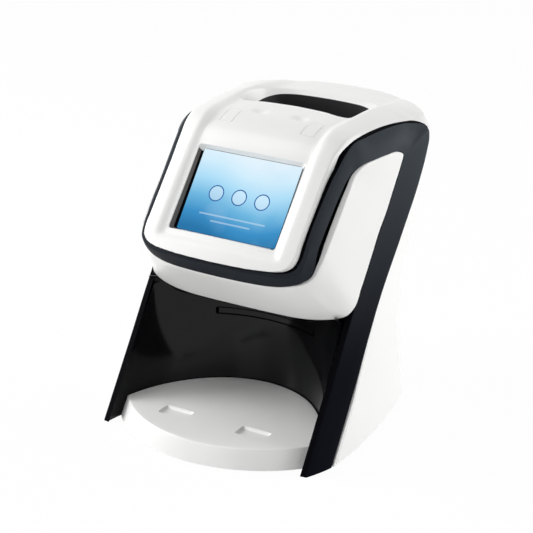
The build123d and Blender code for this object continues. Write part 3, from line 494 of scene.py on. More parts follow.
# By Y: half width of the cover's top at its rim, how far the top falls to the rim and how late
# that fall begins, depth of the broad channel along the middle, and where its side starts and ends.
rim_width = table([(-95.8, 67.1), (-38, 67.1), (-22, 69.5), (-10, 71.3), (5, 72.2), (33, 74.2),
                   (60, 77.8), (75, 82), (90, 87), (137, 88)])
rim_drop = table([(-95.8, 2.85), (-38, 2.85), (-18, 4.1), (5, 4.9), (33, 5.3), (60, 7.7),
                  (88, 7.3), (137, 6)])
drop_power = table([(-60, 2), (-10, 4), (5, 4.5), (90, 4.5), (137, 3)])
channel = table([(-89, 0), (-85, 2.45), (-34, 2.5), (-13, 4.6), (6, 3.2), (22, 3.3),
                 (38, 4), (60, 4), (94, 3.6), (110, 2), (128, 0)])
channel_in = table([(-60, 50.5), (-10, 49), (60, 50.5), (95, 47)])
channel_out = table([(-60, 57), (-10, 57), (60, 58), (95, 58)])
DIMPLE_X, DIMPLE_Y, DIMPLE_WIDE, DIMPLE_LONG, DIMPLE_DEEP = 18.6, 9.2, 10, 7, 2.2


def top_surface(x, t):
    """The top cover's outer face at a distance across and a distance along the profile."""
    (y, z), out = profile_point(t)
    height = -rim_drop(y) * (abs(x) / rim_width(y)) ** drop_power(y)
    height -= channel(y) * (1 - ramp(abs(x), channel_in(y), channel_out(y)))
    far = ((abs(x) - DIMPLE_X) / DIMPLE_WIDE) ** 2 + ((y - DIMPLE_Y) / DIMPLE_LONG) ** 2
    if far < 1:
        height -= DIMPLE_DEEP * (1 - far) ** 2
    return Vector((x, y + out.x * height, z + out.y * height))


# Stations along the rim from the middle of the bezel's foot round the right side to the
# rear: the rim of the top cover, and the seam under its skirt.
cover_rails = [
    ((0, -95.9, 154.7), (0, -90.3, 152.2)),
    ((27, -95.3, 155.1), (27, -89.7, 152.6)),
    ((43, -94.4, 155.9), (43, -88.8, 153.4)),
    ((55, -92.9, 157.1), (55, -87.5, 154.4)),
    ((61.2, -90.5, 158.5), (61.8, -85.3, 155.6)),
    ((65.3, -86.9, 161.4), (66.2, -81.8, 158.2)),
    ((67, -82.6, 166.3), (68, -77.4, 162)),
    ((67.1, -74.6, 177.1), (68.2, -69.1, 172.4)),
    ((67.1, -53, 201.4), (68.2, -47.3, 196.6)),
    ((67.2, -39.9, 216), (68.3, -33.8, 211)),
    ((68.3, -30.5, 226.5), (69.8, -25.5, 221)),
    ((70.2, -21.5, 234.2), (73.2, -17.2, 230.5)),
    ((71.5, -9, 239.3), (76.2, -6.5, 236)),
    ((72.3, 7, 242), (78, 10, 237.8)),
    ((74.2, 32.9, 242.5), (81, 31, 238.5)),
    ((77.8, 59.7, 240.7), (84.4, 60, 236.4)),
    ((82, 74, 238.6), (88, 73.2, 234.7)),
    ((85.6, 85, 236.8), (93.6, 79.4, 230.9)),
    ((85.2, 92, 236), (97.8, 81.4, 226.6)),
    ((81, 97.5, 235.8), (95.6, 86.2, 226)),
    ((75, 103, 235.6), (88, 95, 226)),
    ((64.8, 111, 235.3), (74, 107.8, 226)),
    ((45.5, 122, 235.2), (49, 123.4, 226)),
    ((23, 131, 235.2), (24.5, 131.6, 226)),
    ((0, 134.6, 235.2), (0, 134.2, 226)),
]
PER = 6    # points from one station to the next


def edge_line(rails, side):
    """The smooth line through one of the edges that the stations of the rails give."""
    line = curve([r[side] for r in rails])
    return [line(k / PER) for k in range(PER * (len(rails) - 1) + 1)]


cover = Shell()
rim_right = edge_line(cover_rails, 0)
# The skirt ends above the seam where a black gap shows between the cover and the band.
lifted = value_curve([0] * 10 + [0.08, 0.5, 0.5, 0.46, 0.44, 0.32, 0.24, 0.12] + [0] * 7)
foot_right = [f.lerp(r, max(0, lifted(k / PER)))
              for k, (r, f) in enumerate(zip(rim_right, edge_line(cover_rails, 1)))]
# The rim as one closed run: up the right side to the rear, then down the left.
ring_flat = both_sides([Vector((p.x, along_profile(p.y, p.z))) for p in rim_right])
ring_foot = both_sides(foot_right)
ring_edge = [top_surface(p.x, p.y) for p in ring_flat]
# The rim is crisp along the bezel's sides and foot, with a narrow bevel, and softer behind.
SOFT, BEVEL = 2.2, 1.4
softness = table([(-40, 0.6), (-16, SOFT)])
bevel = table([(-92, 0), (-84, BEVEL), (-36, BEVEL), (-20, 0)])
inner_flat = inset(ring_flat, SOFT)
inner_flat = [a.lerp(b, softness(e.y) / SOFT) for a, b, e in zip(ring_flat, inner_flat, ring_edge)]
ring_inner = [top_surface(p.x, p.y) for p in inner_flat]
ring_outer = []
for e, i, f in zip(ring_edge, ring_inner, ring_foot):
    down, across, soft = (f - e).normalized(), (e - i).normalized(), softness(e.y)
    ring_outer.append(e + down * min(soft, (f - e).length * 0.45) + across * bevel(e.y))
rows = roll(ring_inner, ring_edge, ring_outer)
for k, e in enumerate(ring_edge):
    if bevel(e.y) > 0.2:
        share = min(1, bevel(e.y) / BEVEL)
        crisp = [ring_inner[k], ring_inner[k].lerp(e, 0.7), e, e.lerp(ring_outer[k], 0.1),
                 e.lerp(ring_outer[k], 0.6), ring_outer[k]]
        for row, p in zip(rows, crisp):
            row[k] = row[k].lerp(p, share)
cover.grid(rows + between(ring_outer, ring_foot, (0.05, 0.35, 0.7, 1)), closed=True)

# The window over the screen, and the wall of its well down to the glass
glass_up, glass_out = Vector((0, 0.62, 0.785)), Vector((0, -0.785, 0.62))
glass_low = Vector((0, -73.3, GLASS_FOOT_Z))
WELL_ROUND, GRIP_ROUND = 0.4, 1.6
well_flat = rounded([(-48.9, 20.4), (48.9, 20.4), (49, 93.6), (-49, 93.6)], [2] * 4, 2)
glass_flat = rounded([(-GLASS_HALF, 0), (GLASS_HALF, 0), (GLASS_HALF, GLASS_LONG),
                      (-GLASS_HALF, GLASS_LONG)], [2.6, 2.6, 2.4, 2.4], 2)
count = len(well_flat)
around = sum((a - b).length for a, b in zip(glass_flat, glass_flat[1:] + glass_flat[:1]))
glass_ring = spaced(glass_flat + [glass_flat[0]], around / count)[:count]
well_edge = [top_surface(p.x, p.y) for p in well_flat]
well_inner_flat = inset(well_flat, -WELL_ROUND)
well_inner = [top_surface(p.x, p.y) for p in well_inner_flat]
well_foot = [Vector((p.x, 0, 0)) + glass_low + glass_up * p.y + glass_out * 0.1
             for p in glass_ring]
well_outer = [e + (f - e).normalized() * WELL_ROUND for e, f in zip(well_edge, well_foot)]
cover.grid(roll(well_inner, well_edge, well_outer, 4)
           + between(well_outer, well_foot, (0.33, 0.66, 1)), closed=True)

# The grip: its rim in the top, and a white wall that leans in to the black pocket
grip_points = [(0, 36, 244), (28, 33.4, 244), (44.5, 30.6, 244.6), (49, 31.6, 245),
               (52.6, 37.5, 245.5), (54.6, 46, 245), (53.8, 58.7, 243.6), (51.6, 73, 242),
               (46.6, 83.6, 240.6), (37, 89.9, 239.9), (20, 92.5, 239.2), (0, 93.5, 239)]
grip_flat = both_sides(smooth_line([Vector((x, along_profile(y, z + 3.4)))
                                    for x, y, z in grip_points], 2))
grip_inner_flat = inset(grip_flat, -GRIP_ROUND)
grip_edge = [top_surface(p.x, p.y) for p in grip_flat]
grip_inner = [top_surface(p.x, p.y) for p in grip_inner_flat]
# The wall's foot is drawn in from the rim, and lies further forward and higher at the rear.
grip_foot = []
for p in grip_edge:
    lean = ramp(p.y, 36, 82)
    grip_foot.append(Vector((p.x * (0.955 - 0.025 * lean), p.y - 4.2 * lean - 0.4,
                             232.4 + 3.6 * lean)))
grip_outer = [e + (f - e).normalized() * GRIP_ROUND for e, f in zip(grip_edge, grip_foot)]
cover.grid(roll(grip_inner, grip_edge, grip_outer, 4)
           + between(grip_outer, grip_foot, (0.5, 1)), closed=True)

# Two outlined plates at the sides of the brow, each within a fine groove
GROOVE_WIDE, GROOVE_DEEP = 0.64, 0.55
low, high = along_profile(-16, 246), along_profile(5, 247)
marks = []
for side in (-1, 1):
    corners = [(side * x, t) for x, t in ((31.2, low), (43.4, low), (43.8, high), (31.6, high))]
    mark = rounded(corners, [0.8] * 4, 1)[::side]
    marks.append(mark)
    groove = [[top_surface(p.x, p.y) for p in inset(mark, drawn)]
              for drawn in (0, 0.12, 0.52, GROOVE_WIDE)]
    for p in groove[1] + groove[2]:
        p.z -= GROOVE_DEEP
    cover.grid(groove, closed=True)
    cover.sheet(inset(mark, GROOVE_WIDE), [], top_surface, 1.6)

# The rest of the top, with closer points over the brow and its dimples
brow_low, brow_high = along_profile(-18, 246), along_profile(14, 247)
cover.sheet(inner_flat, [well_inner_flat, grip_inner_flat, *marks], top_surface, 2.6,
            fine=[((-46, brow_low), (46, brow_high), 1.2)])
piece("white_top_cover", cover, white, node="top_cover", merge=0.005, sharp=50)

# Dark lining of the screen's well, at its two sides and foot
LINING_OFF = 0.25    # distance of the lining from the well's wall
picked = [k for k in range(count) if glass_ring[k].y < GLASS_LONG - 2.2]
start = next(k for k in picked if (k - 1) % count not in picked)
order = [(start + k) % count for k in range(len(picked))]
lining = Shell()
lining.grid([[row[k] + (Vector((0, row[k].y, row[k].z)) - row[k]).normalized() * LINING_OFF
              for k in order] for row in between(well_outer, well_foot, (0.02, 0.3, 0.62, 1))])
well_lining = piece("screen_well_lining", lining, brown_black, merge=0)
well_lining.data.materials.append(shade_and_border_black)
# The row of faces beside the glass is black.
for k, face in enumerate(well_lining.data.polygons):
    if k >= 2 * (len(order) - 1):
        face.material_index = 1

# ---- dark loop: legs, bands, chin
# Stations from the middle of the chin round the corner, up the band, over the top and down
# the leg: outer corner, inner edge, ledge or return behind the outer corner, depth of bow.
loop_rails = [
    ((0, -90.4, 149.8), (0, -83.6, 137.5), (0, -87.2, 153.2), 0),
    ((27, -89.5, 149.4), (27, -83.2, 137.8), (27, -86.6, 153.6), 0),
    ((43, -88.2, 149.6), (43, -82.4, 138.4), (43, -85.7, 154.4), 0.1),
    ((57.5, -86.4, 149.6), (54, -81.2, 139.4), (55, -84.2, 155.2), 0.2),
    ((67.6, -83.8, 151.8), (63, -79.2, 141), (61.2, -82.6, 156.6), 0.4),
    ((73.4, -80.6, 156.8), (70.5, -76.3, 143), (65.6, -80, 159.4), 0.6),
    ((74.6, -75.8, 164.6), (76.5, -72.3, 147.2), (67.5, -76.6, 164.4), 0.6),
    ((73.9, -67, 177.1), (79.8, -63.5, 166.5), (67.8, -67, 177.3), 0.5),
    ((74.3, -46.5, 200), (80.4, -45.2, 187.8), (67.8, -46.5, 200), 0.5),
    ((75.2, -34, 213.3), (81, -33, 201.7), (67.9, -34, 213.2), 0.5),
    ((75.7, -26, 222), (81.6, -24, 211.3), (69.4, -25.6, 221.8), 0.5),
    ((76.3, -16, 231.5), (82.3, -16.6, 217.6), (71, -18.6, 232), 0.8),
    ((76.9, -6, 236.6), (85, -10.6, 221.2), (73.2, -7.2, 237.3), 1.2),
    ((78.2, 10, 237.2), (88.6, 3.4, 223.1), (74.7, 9, 239.4), 1.4),
    ((80.8, 31, 237.8), (91.4, 18, 223.5), (77.3, 31.7, 239.9), 1.5),
    ((83.9, 52, 237), (93.3, 34, 222.3), (81, 52.6, 238.4), 1.5),
    ((86.1, 68.9, 234.7), (93.8, 39.8, 219.8), (83.8, 68.4, 235), 1.5),
    ((91.8, 79.4, 231.8), (94, 41.4, 217.2), (89.8, 78.4, 230.8), 1.3),
    ((96.4, 79.6, 229), (94, 40.8, 214.6), (94, 79.2, 228.4), 1.2),
    ((98.6, 77.4, 223), (94, 37.4, 208.6), (96, 77.4, 222.6), 1.2),
    ((99.4, 72.8, 214), (94, 32.2, 201.4), (96.8, 72.9, 214), 1.3),
    ((100.2, 62, 197), (94, 22.2, 187.6), (97.6, 62.2, 197), 1.3),
    ((101.3, 30, 158), (94, -2, 156.6), (98.8, 30.2, 158), 1.3),
    ((102, -5, 117), (94.5, -36.8, 111.8), (99.6, -4.8, 117), 1.3),
    ((103.2, -45, 58.5), (94.9, -73.6, 56.2), (100.8, -44.8, 58.5), 1.3),
    ((104.1, -85, 0.8), (95.2, -110.6, 0.8), (101.6, -84.8, 0.8), 1.3),
]
# By station: share of the ledge that is black painted shade, width of the groove at the inner
# edge, and the way in which the edge is turned back
shade_shares = value_curve([0.55] * 6 + [0.7] * 4 + [0.8] + [0.97] * 8 + [0.5] * 7)
groove_widths = value_curve([0] * 3 + [0.2, 0.8, 1.6, 2.3, 2.7, 2.9, 2.8, 2.2, 0.9, 0.3]
                            + [0] * 5 + [0.7] * 8)
loop_returns = curve([(0, 0.85, 0.5)] * 5 + [(-0.3, 0.75, 0.4), (-0.8, 0.5, 0.2)]
                     + [(-1, 0.25, 0)] * 4 + [(-1, 0.1, -0.1)] * 6 + [(-1, 0, 0)] * 9)


def outward(cross, run, guide):
    """Unit direction square to a face's two directions, on the guide's side."""
    out = cross.cross(run).normalized()
    return -out if out.dot(Vector(guide)) < 0 else out


def running(line, k):
    """Direction of a line at its k-th point."""
    return line[min(k + 1, len(line) - 1)] - line[max(k - 1, 0)]


BAND_ROUND, BAND_TURN = 0.9, 0.6    # round of the loop's outer corner and of its inner edge
BAND_SUNK, SUNK_FROM = 0.9, 5    # depth of its black ledge, from this station on


def band_rows(rails):
    """Rows along the loop from the black ledge, painted shade, behind its outer corner to its inner
    edge.
    """
    corner, inner, ledge = (edge_line(rails, side) for side in range(3))
    bows = value_curve([r[3] for r in rails])
    rows = []
    for k, (c, i, l) in enumerate(zip(corner, inner, ledge)):
        u = k / PER
        cross = i - c
        out = outward(cross, running(corner, k), (1, -0.35, 0.1))
        bow = bows(u)
        back = loop_returns(u).normalized()
        # The face ends short of the panel beside it, which leaves a groove there, coloured black as
        # painted shade.
        groove = max(0, groove_widths(u))
        end = 1 - groove / cross.length

        def face(s):
            return c + cross * (s * end) + out * bow * 4 * s * (1 - s)

        # The black part of the ledge, painted shade, lies a little deeper than its outer edge.
        a = c.lerp(l, min(BAND_ROUND / (l - c).length, 0.3))
        sunk = -out * BAND_SUNK if u > SUNK_FROM else Vector((0, 0, 0))
        shade_end = l.lerp(a, shade_shares(u)) + sunk
        tip = face(1)
        rows.append([l, l.lerp(shade_end, 0.5) + sunk * 0.5, shade_end]
                    + turn(a, c, face(0.06), QUARTERS)
                    + [face(s) for s in (0.12, 0.25, 0.375, 0.5, 0.625, 0.75, 0.88)]
                    + turn(tip - cross.normalized() * BAND_TURN, tip, tip + back * BAND_TURN,
                           QUARTERS)
                    + [tip + back * (1.2 + groove),
                       i + back * (1.6 + groove + 2.6 * ramp(u, 21, 23))])
    return rows


band = Shell()
band.grid(band_rows(loop_rails))
columns = len(band.faces) // (PER * (len(loop_rails) - 1))
painted_shade_columns = {0, 1, columns - 2, columns - 1}
half = len(band.faces)
band.mirrored()
loop = piece("dark_loop", band, dark, node="dark_frame", sharp=50, merge=0)
# The ledge's and the groove's columns get the black painted shade.
loop.data.materials.append(shade_and_border_black)
for k, polygon in enumerate(loop.data.polygons):
    if k % half % columns in painted_shade_columns:
        polygon.material_index = 1

# ---- white jaw and side panels
# Stations from the middle of the jaw round its corner and up the panel to the window's corner:
# upper edge, lower or front edge, and the line behind the upper edge.
panel_rails = [
    ((0, -83.2, 137), (0, -50.4, 101.1), (0, -82, 139)),
    ((27, -82.8, 137.3), (32, -50.2, 101.2), (27, -81.6, 139.2)),
    ((43, -82, 137.9), (50, -49.8, 101.6), (43, -80.8, 139.8)),
    ((54, -80.8, 138.9), (64, -48.5, 102.6), (53.8, -79.4, 140.8)),
    ((63, -78.8, 140.5), (76, -46.4, 104.4), (62.6, -77.4, 142.4)),
    ((70.9, -76.1, 142.5), (85, -43.7, 106.4), (69.8, -74.6, 144.2)),
    ((77.8, -72.3, 146.8), (91, -40.5, 109), (75.6, -71.2, 148.2)),
    ((82.6, -67.6, 157.8), (94, -35.6, 113.4), (79.2, -66.6, 158.6)),
    ((84.4, -55.4, 174.2), (94.4, -24, 127.6), (79.6, -55, 174.6)),
    ((84.8, -40, 192.2), (94.3, -9, 147.6), (80, -39.8, 192.6)),
    ((84.6, -27, 206.6), (94.1, 5, 166.6), (80.6, -27, 207)),
    ((84.6, -17.6, 216.2), (94, 15, 177.5), (81.4, -17.8, 216.6)),
    ((86.4, -9.6, 220.8), (94, 25, 191.6), (84.2, -9.6, 221.4)),
    ((89.2, 4.6, 222.6), (94, 33, 202.6), (87.4, 4.6, 223.2)),
    ((91.9, 19, 223), (94, 38.4, 210.4), (90.4, 19, 223.4)),
    ((93.6, 34, 221.7), (94, 41, 214.8), (92.4, 34, 222)),
    ((93.95, 39.2, 219.6), (94, 41.6, 217.2), (92.6, 39.2, 219.8)),
]
PANEL_ROUND, PANEL_TURN, PANEL_BEHIND = 0.9, 1.6, 3
panel = Shell()
upper, lower, behind = (edge_line(panel_rails, side) for side in range(3))
panel_bow = value_curve([0, 0, 0.3, 0.8, 0.9, 0.2, -1.3, -0.5, 0, 0, 0.2, 0.3, 0.3, 0.3, 0.2, 0.1,
                         0])
panel_back = curve([(0, 0.75, 0.65)] * 4 + [(-0.2, 0.75, 0.6), (-0.5, 0.7, 0.5), (-0.85, 0.4, 0.2)]
                   + [(-1, 0.1, 0)] * 10)
rows = []
for k, (u, l, b) in enumerate(zip(upper, lower, behind)):
    cross = l - u
    out = Vector((1, 0, 0))
    if cross.length > 1.2:
        out = outward(cross, running(upper, k), (1, -0.8, -0.2))
    bow = panel_bow(k / PER)
    back = panel_back(k / PER).normalized()
    reach = min(PANEL_TURN, cross.length * 0.3) * 0.6
    a = u + (b - u).normalized() * min(PANEL_ROUND, (b - u).length * 0.4)
    c = u + cross * min(0.12, PANEL_ROUND / cross.length)
    rows.append([b, b.lerp(a, 0.5)] + turn(a, u, c, THIRDS)
                + [u + cross * s + out * bow * 4 * s * (1 - s)
                   for s in (0.13, 0.2, 0.3, 0.4, 0.5, 0.6, 0.7, 0.8, 0.9)]
                + turn(l - cross.normalized() * reach, l, l + back * reach, THIRDS)
                + [l + back * PANEL_BEHIND])
panel.grid(rows).mirrored()
piece("white_front_shell", panel, white, node="front_shell", sharp=55)

# ---- rear cover
FOOT, SEAM_TOP, HALF_WIDTH = 1.2, 226, 105
CORNER_DEEP, CORNER_SOFT, FLANK_LONG, FLANK_BOW = 44, 15, 115, 3
# By level: rearmost Y and half width at the rear corner, and Y of the dark loop's rear edge
rear_levels = [0, 60, 112, 160, 205, 255]
rear_back = curve([(0, 110.5, 86), (60, 104.5, 84.5), (112, 105, 86), (160, 118, 91),
                   (205, 130.5, 94), (255, 139, 88)])
seam_levels = [0, 58.5, 117, 158, 197, 214, 226.01]
seam_line = curve([(0, -85, 0), (0, -45, 58.5), (0, -5, 117), (0, 30, 158),
                   (0, 62, 197), (0, 72.5, 214), (0, 79, 226)])


def by_level(line, stations, z):
    """The point at a height of a curve whose stations stand at the given levels."""
    i = max(k for k in range(len(stations) - 1) if stations[k] <= z)
    return line(i + (z - stations[i]) / (stations[i + 1] - stations[i]))


def rear_plan(z):
    """The right half of the rear cover's outline at a height, from the seam to the middle."""
    _, back, corner = by_level(rear_back, rear_levels, z)
    first = by_level(seam_line, seam_levels, z).y
    corner_y = back - CORNER_DEEP
    widest_y = corner_y - FLANK_LONG
    bulge = (corner + HALF_WIDTH) / 2 + FLANK_BOW
    flank = curve([(HALF_WIDTH, widest_y, z), (bulge, (corner_y + widest_y) / 2, z),
                   (corner, corner_y, z)])
    radius = (corner ** 2 + CORNER_DEEP ** 2) / (2 * CORNER_DEEP)
    angle = acos(1 - CORNER_DEEP / radius) - CORNER_SOFT / radius

    def rear_arc(a):
        return Vector((radius * sin(a), back - radius * (1 - cos(a)), z))

    share = min(max((first - widest_y) / FLANK_LONG, 0), 1)
    line = [Vector((flank(2 * share).x, first, z))]
    line += [p for p in map(flank, (k / 20 for k in range(41)))
             if first <= p.y <= corner_y - CORNER_SOFT]
    soft_from = flank(2 * (1 - CORNER_SOFT / FLANK_LONG))
    if line[-1].y > soft_from.y - 0.5 and len(line) > 1:
        line.pop()
    line += turn(soft_from, Vector((corner, corner_y, z)), rear_arc(angle), EIGHTHS)
    return line + [rear_arc(angle * (1 - k / 14)) for k in range(1, 15)]


RECESS_HALF, RECESS_LOW, RECESS_HIGH, RECESS_FLOOR = 42, 12, 44, 90
MIDDLE = 16    # columns of faces over half of the recess
HEAD_END = 3.8    # where the even columns begin, behind the groove at the seam
rear = Shell()


def at_distance(line, s):
    """The point at a distance along a line."""
    travelled = 0
    for a, b in zip(line, line[1:]):
        gap = (b - a).length
        if travelled + gap >= s:
            return a.lerp(b, (s - travelled) / gap)
        travelled += gap
    return line[-1].copy()


levels = [FOOT, 2, 6, RECESS_LOW]
levels += [RECESS_LOW + (RECESS_HIGH - RECESS_LOW) * k / 8 for k in range(1, 9)]
levels += [RECESS_HIGH + (SEAM_TOP - RECESS_HIGH) * k / 46 for k in range(1, 47)]
rows = []
for z in levels:
    dense = spaced(rear_plan(z), 1)
    start = dense[0]
    ahead = (dense[3] - start).normalized()
    side = Vector((-1, 0, 0))
    # From inside the seam out to the flank, then over a fine groove beside it
    head = [start + side * 2.4 + ahead * 0.3, start + side * 0.5 + ahead * 0.3,
            start + ahead * 0.8, start + ahead * 2.7, start + ahead * 2.95 + side * 0.7,
            start + ahead * 3.25 + side * 0.7, start + ahead * 3.5]

    # A column of points stands above the recess's side all the way up.
    length = 0
    for a, b in zip(dense, dense[1:]):
        gap = (b - a).length
        if a.y > 60 and a.x > RECESS_HALF >= b.x:
            side_at = length + gap * (a.x - RECESS_HALF) / (a.x - b.x)
        length += gap
    far = [at_distance(dense, HEAD_END + (side_at - HEAD_END) * k / 60) for k in range(61)]
    mid = [at_distance(dense, side_at + (length - side_at) * k / MIDDLE)
           for k in range(1, MIDDLE + 1)]
    far[-1].x = RECESS_HALF
    mid[-1].x = 0
    rows.append(head + far + mid)
wide = len(rows[0])
for i in range(len(rows) - 1):
    inside = RECESS_LOW <= levels[i] and levels[i + 1] <= RECESS_HIGH + 0.01
    stop = wide - MIDDLE if inside else wide
    rear.grid([rows[i][:stop], rows[i + 1][:stop]])
low_row = next(i for i, z in enumerate(levels) if z >= RECESS_LOW)
high_row = next(i for i, z in enumerate(levels) if z >= RECESS_HIGH)
# The walls of the recess run in from its edge to its floor.
edge = wide - MIDDLE - 1
for line in (rows[low_row][edge:], rows[high_row][edge:],
             [rows[i][edge] for i in range(low_row, high_row + 1)]):
    floor = [Vector((p.x, RECESS_FLOOR, p.z)) for p in line]
    rear.grid([line] + between(line, floor, (0.5, 1)))
rear.mirrored()


def rectangle(x0, x1, z0, z1):
    return [Vector(p) for p in ((x0, z0), (x1, z0), (x1, z1), (x0, z1))]


def at_node(name, gap):
    """The outline of a hole round a node's box, seen from behind."""
    low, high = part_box(name)
    return rectangle(low.x / MM - gap, high.x / MM + gap, low.z / MM - gap, high.z / MM + gap)


port_holes = [at_node(name, 0.15) for name in ("network_port", "usb_port", "power_inlet",
                                               "switch_housing")]
rear.sheet(rectangle(-RECESS_HALF, RECESS_HALF, RECESS_LOW, RECESS_HIGH), port_holes,
           lambda x, z: (x, RECESS_FLOOR, z), 6)
piece("white_rear_cover", rear, white, node="rear_cover", sharp=38)

# ---- plate bay
LEG_LEAN, LEG_FRONT = 73.5 / 112, -110.5
BAY_HALF, BAY_MIDDLE, BAY_BACK, BAY_TURN, BAY_GAP = 91.8, -126.3, -5.3, 9, 0.4
ROOF_LOW, ROOF_RISE = 101, 11    # level of the roof at the middle, and its rise to the legs


def bay_centre(z):
    """Y of the middle of the bay's round plan at a height."""
    return BAY_MIDDLE + (z - 1) * LEG_LEAN


def bay_wall(angle, z):
    """A point of the bay's upright wall by its angle from the middle."""
    centre = bay_centre(z)
    return Vector((BAY_HALF * sin(angle), centre + (BAY_BACK - centre) * cos(angle), z))


def bay_bend(angle):
    """Height at which the lining starts to turn over into the roof."""
    rise = ROOF_RISE * ramp(abs(BAY_HALF * sin(angle)), 56, 100)
    return ROOF_LOW + rise - BAY_GAP - BAY_TURN


def bay_surface(a, v):
    """The bay's lining by angle in degrees and by height, which runs on along the roof."""
    angle = radians(a)
    base = bay_wall(angle, min(v, bay_bend(angle)))
    over, arc = v - bay_bend(angle), BAY_TURN * pi / 2
    if over <= 0:
        return base
    if over < arc:
        bent = over / BAY_TURN
        return base + Vector((0, -BAY_TURN * (1 - cos(bent)), BAY_TURN * sin(bent)))
    return base + Vector((0, arc - over - BAY_TURN, BAY_TURN))


lining = Shell()
# The slot's half width is an angle in degrees.
SLOT_HALF, SLOT_LOW, SLOT_HIGH = 30.9, 71.3, 77.7
slot_flat = rounded([(-SLOT_HALF, SLOT_LOW), (SLOT_HALF, SLOT_LOW), (SLOT_HALF, SLOT_HIGH),
                     (-SLOT_HALF, SLOT_HIGH)], [1.6] * 4, 0.9)
right_edge = []
for z in [FOOT + 2.2 * k for k in range(47)]:
    centre = bay_centre(z)
    share = (LEG_FRONT + z * LEG_LEAN - 0.1 - centre) / (BAY_BACK - centre)
    right_edge.append(Vector((acos(min(1, max(0, share))) * 180 / pi, z)))
top_row = []
for k in range(31):
    a = right_edge[-1].x * (1 - 2 * k / 30)
    base = bay_wall(radians(a), bay_bend(radians(a)))
    front_y = -50 + 12 * ramp(abs(base.x), 60, 92)
    over = max(0, base.y - BAY_TURN - front_y)
    top_row.append(Vector((a, base.z + BAY_TURN * pi / 2 + over)))
foot_row = [Vector((a, FOOT)) for a in range(-80, 81, 2)]
outline = right_edge + top_row + [Vector((-p.x, p.y)) for p in reversed(right_edge)] + foot_row
lining.sheet(outline, [slot_flat], bay_surface, 2.4)
slot_ring = [bay_surface(p.x, p.y) for p in slot_flat]
slot_rows = [[p + Vector((0, deep, ((SLOT_LOW + SLOT_HIGH) / 2 - p.z) * draft)) for p in slot_ring]
             for deep, draft in ((0, 0), (1.2, 0.05), (7, 0.12))]
lining.grid(slot_rows, closed=True)
piece("plate_bay_lining", lining, gloss, node="cavity_liner", sharp=35)

# ---- receiving tray
TRAY_TOP, TRAY_FOOT, TRAY_CENTRE = 15.9, 0.9, -15.2
TRAY_ROUND = 1.1
TRAY_RADIUS, TRAY_TIP = 120.1, 88.3    # front arc at the foot: radius and half width
RADIUS_DRAFT, TIP_DRAFT = 7.2, 0.5    # how much less both are at the top
TRAY_FIT = 0.9945    # share of the bay's depth that the rear arc takes
COUNT = 72


def tray_front(z):
    """The front arc of the tray at a height, from its right tip to its left."""
    radius = TRAY_RADIUS - RADIUS_DRAFT * z / TRAY_TOP
    tip = asin((TRAY_TIP - TIP_DRAFT * z / TRAY_TOP) / radius)
    angles = [tip * (1 - 2 * k / COUNT) for k in range(COUNT + 1)]
    return [Vector((radius * sin(a), TRAY_CENTRE - radius * cos(a), z)) for a in angles]


def tray_rear(z, half_angle):
    """The rear arc of the tray just off the bay's wall, from its left tip to its right."""
    centre = Vector((0, bay_centre(z), z))
    return [centre + (bay_wall(radians(half_angle * (2 * k / COUNT - 1)), z) - centre) * TRAY_FIT
            for k in range(1, COUNT)]


tray = Shell()
top_edge = tray_front(TRAY_TOP) + tray_rear(TRAY_TOP, 74.1)
skirt = tray_front(TRAY_FOOT) + tray_rear(TRAY_FOOT, 75.4)
soft = inset([p.xy for p in top_edge], TRAY_ROUND)
top_outer = [e + (f - e).normalized() * TRAY_ROUND for e, f in zip(top_edge, skirt)]
tray.grid(roll(level(soft, TRAY_TOP), top_edge, top_outer, 4)
          + between(top_outer, skirt, (0.3, 0.6, 0.96, 1)), closed=True)
# Two shallow recesses for the fingers: how far their edge is drawn in, and how deep it is there
FINGER_X, FINGER_Y, FINGER_HALF, FINGER_LONG = 36.4, -91.8, 13.5, 7.5
finger_steps = ((0, 0), (0.3, 0), (0.55, 0.4), (1.7, 2), (2.1, 2.2), (2.6, 2.2))
recesses = []
for side in (-1, 1):
    hole = rounded([(side * FINGER_X + x * FINGER_HALF, FINGER_Y + y * FINGER_LONG)
                    for x, y in ((-1, -1), (1, -1), (1, 1), (-1, 1))], [2.4] * 4, 1.2)
    recesses.append(hole)
    tray.grid([level(inset(hole, drawn), TRAY_TOP - deep) for drawn, deep in finger_steps],
              closed=True)
    drawn, deep = finger_steps[-1]
    tray.sheet(inset(hole, drawn), [], lambda x, y: (x, y, TRAY_TOP - deep), 3)
tray.sheet(soft, recesses, lambda x, y: (x, y, TRAY_TOP), 4)
piece("white_receiving_tray", tray, white, body="tray", node="receiving_tray",
      sharp=35)

# ---- grip pocket
POCKET_Y, POCKET_FLOOR = 62, 199.7
pocket_steps = ((230.5, 0.995), (222, 0.985), (208, 0.965), (202, 0.93), (POCKET_FLOOR, 0.86))
rings = [grip_foot]
for z, drawn in pocket_steps:
    rings.append([Vector((p.x * drawn, POCKET_Y + (p.y - POCKET_Y) * drawn, z)) for p in grip_foot])
pocket = Shell()
pocket.grid(rings, closed=True)
pocket.sheet([p.xy for p in rings[-1]], [], lambda x, y: (x, y, POCKET_FLOOR), 4)
piece("black_grip_pocket", pocket, black, node="handle_pocket", sharp=60)

# ---- pieces that stay as modelled
finishes = [
    (picture, "screen_glass"),
    (black, "lcd_panel display_frame base_plate front_rail_block rear_rail_block power_inlet"
            " switch_housing power_rocker"),
    (board, "display_board erase_lamp_board mainboard io_board"),
    (steel, "pan_head_screws deck_posts guide_rods drive_motor drive_screw optics_posts"
            " photomultiplier laser_module network_port usb_port"),
    (aluminium, "scan_deck optics_plate mirror_motor"),
    (rubber, "rubber_feet"),
    (gloss, "plate_carrier"),
    (clear, "light_collector"),
    (facets, "mirror_rotor"),
]
for finish, names in finishes:
    for name in names.split():
        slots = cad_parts[name].data.materials
        if not len(slots):
            slots.append(finish)
        for k in range(len(slots)):
            slots[k] = finish

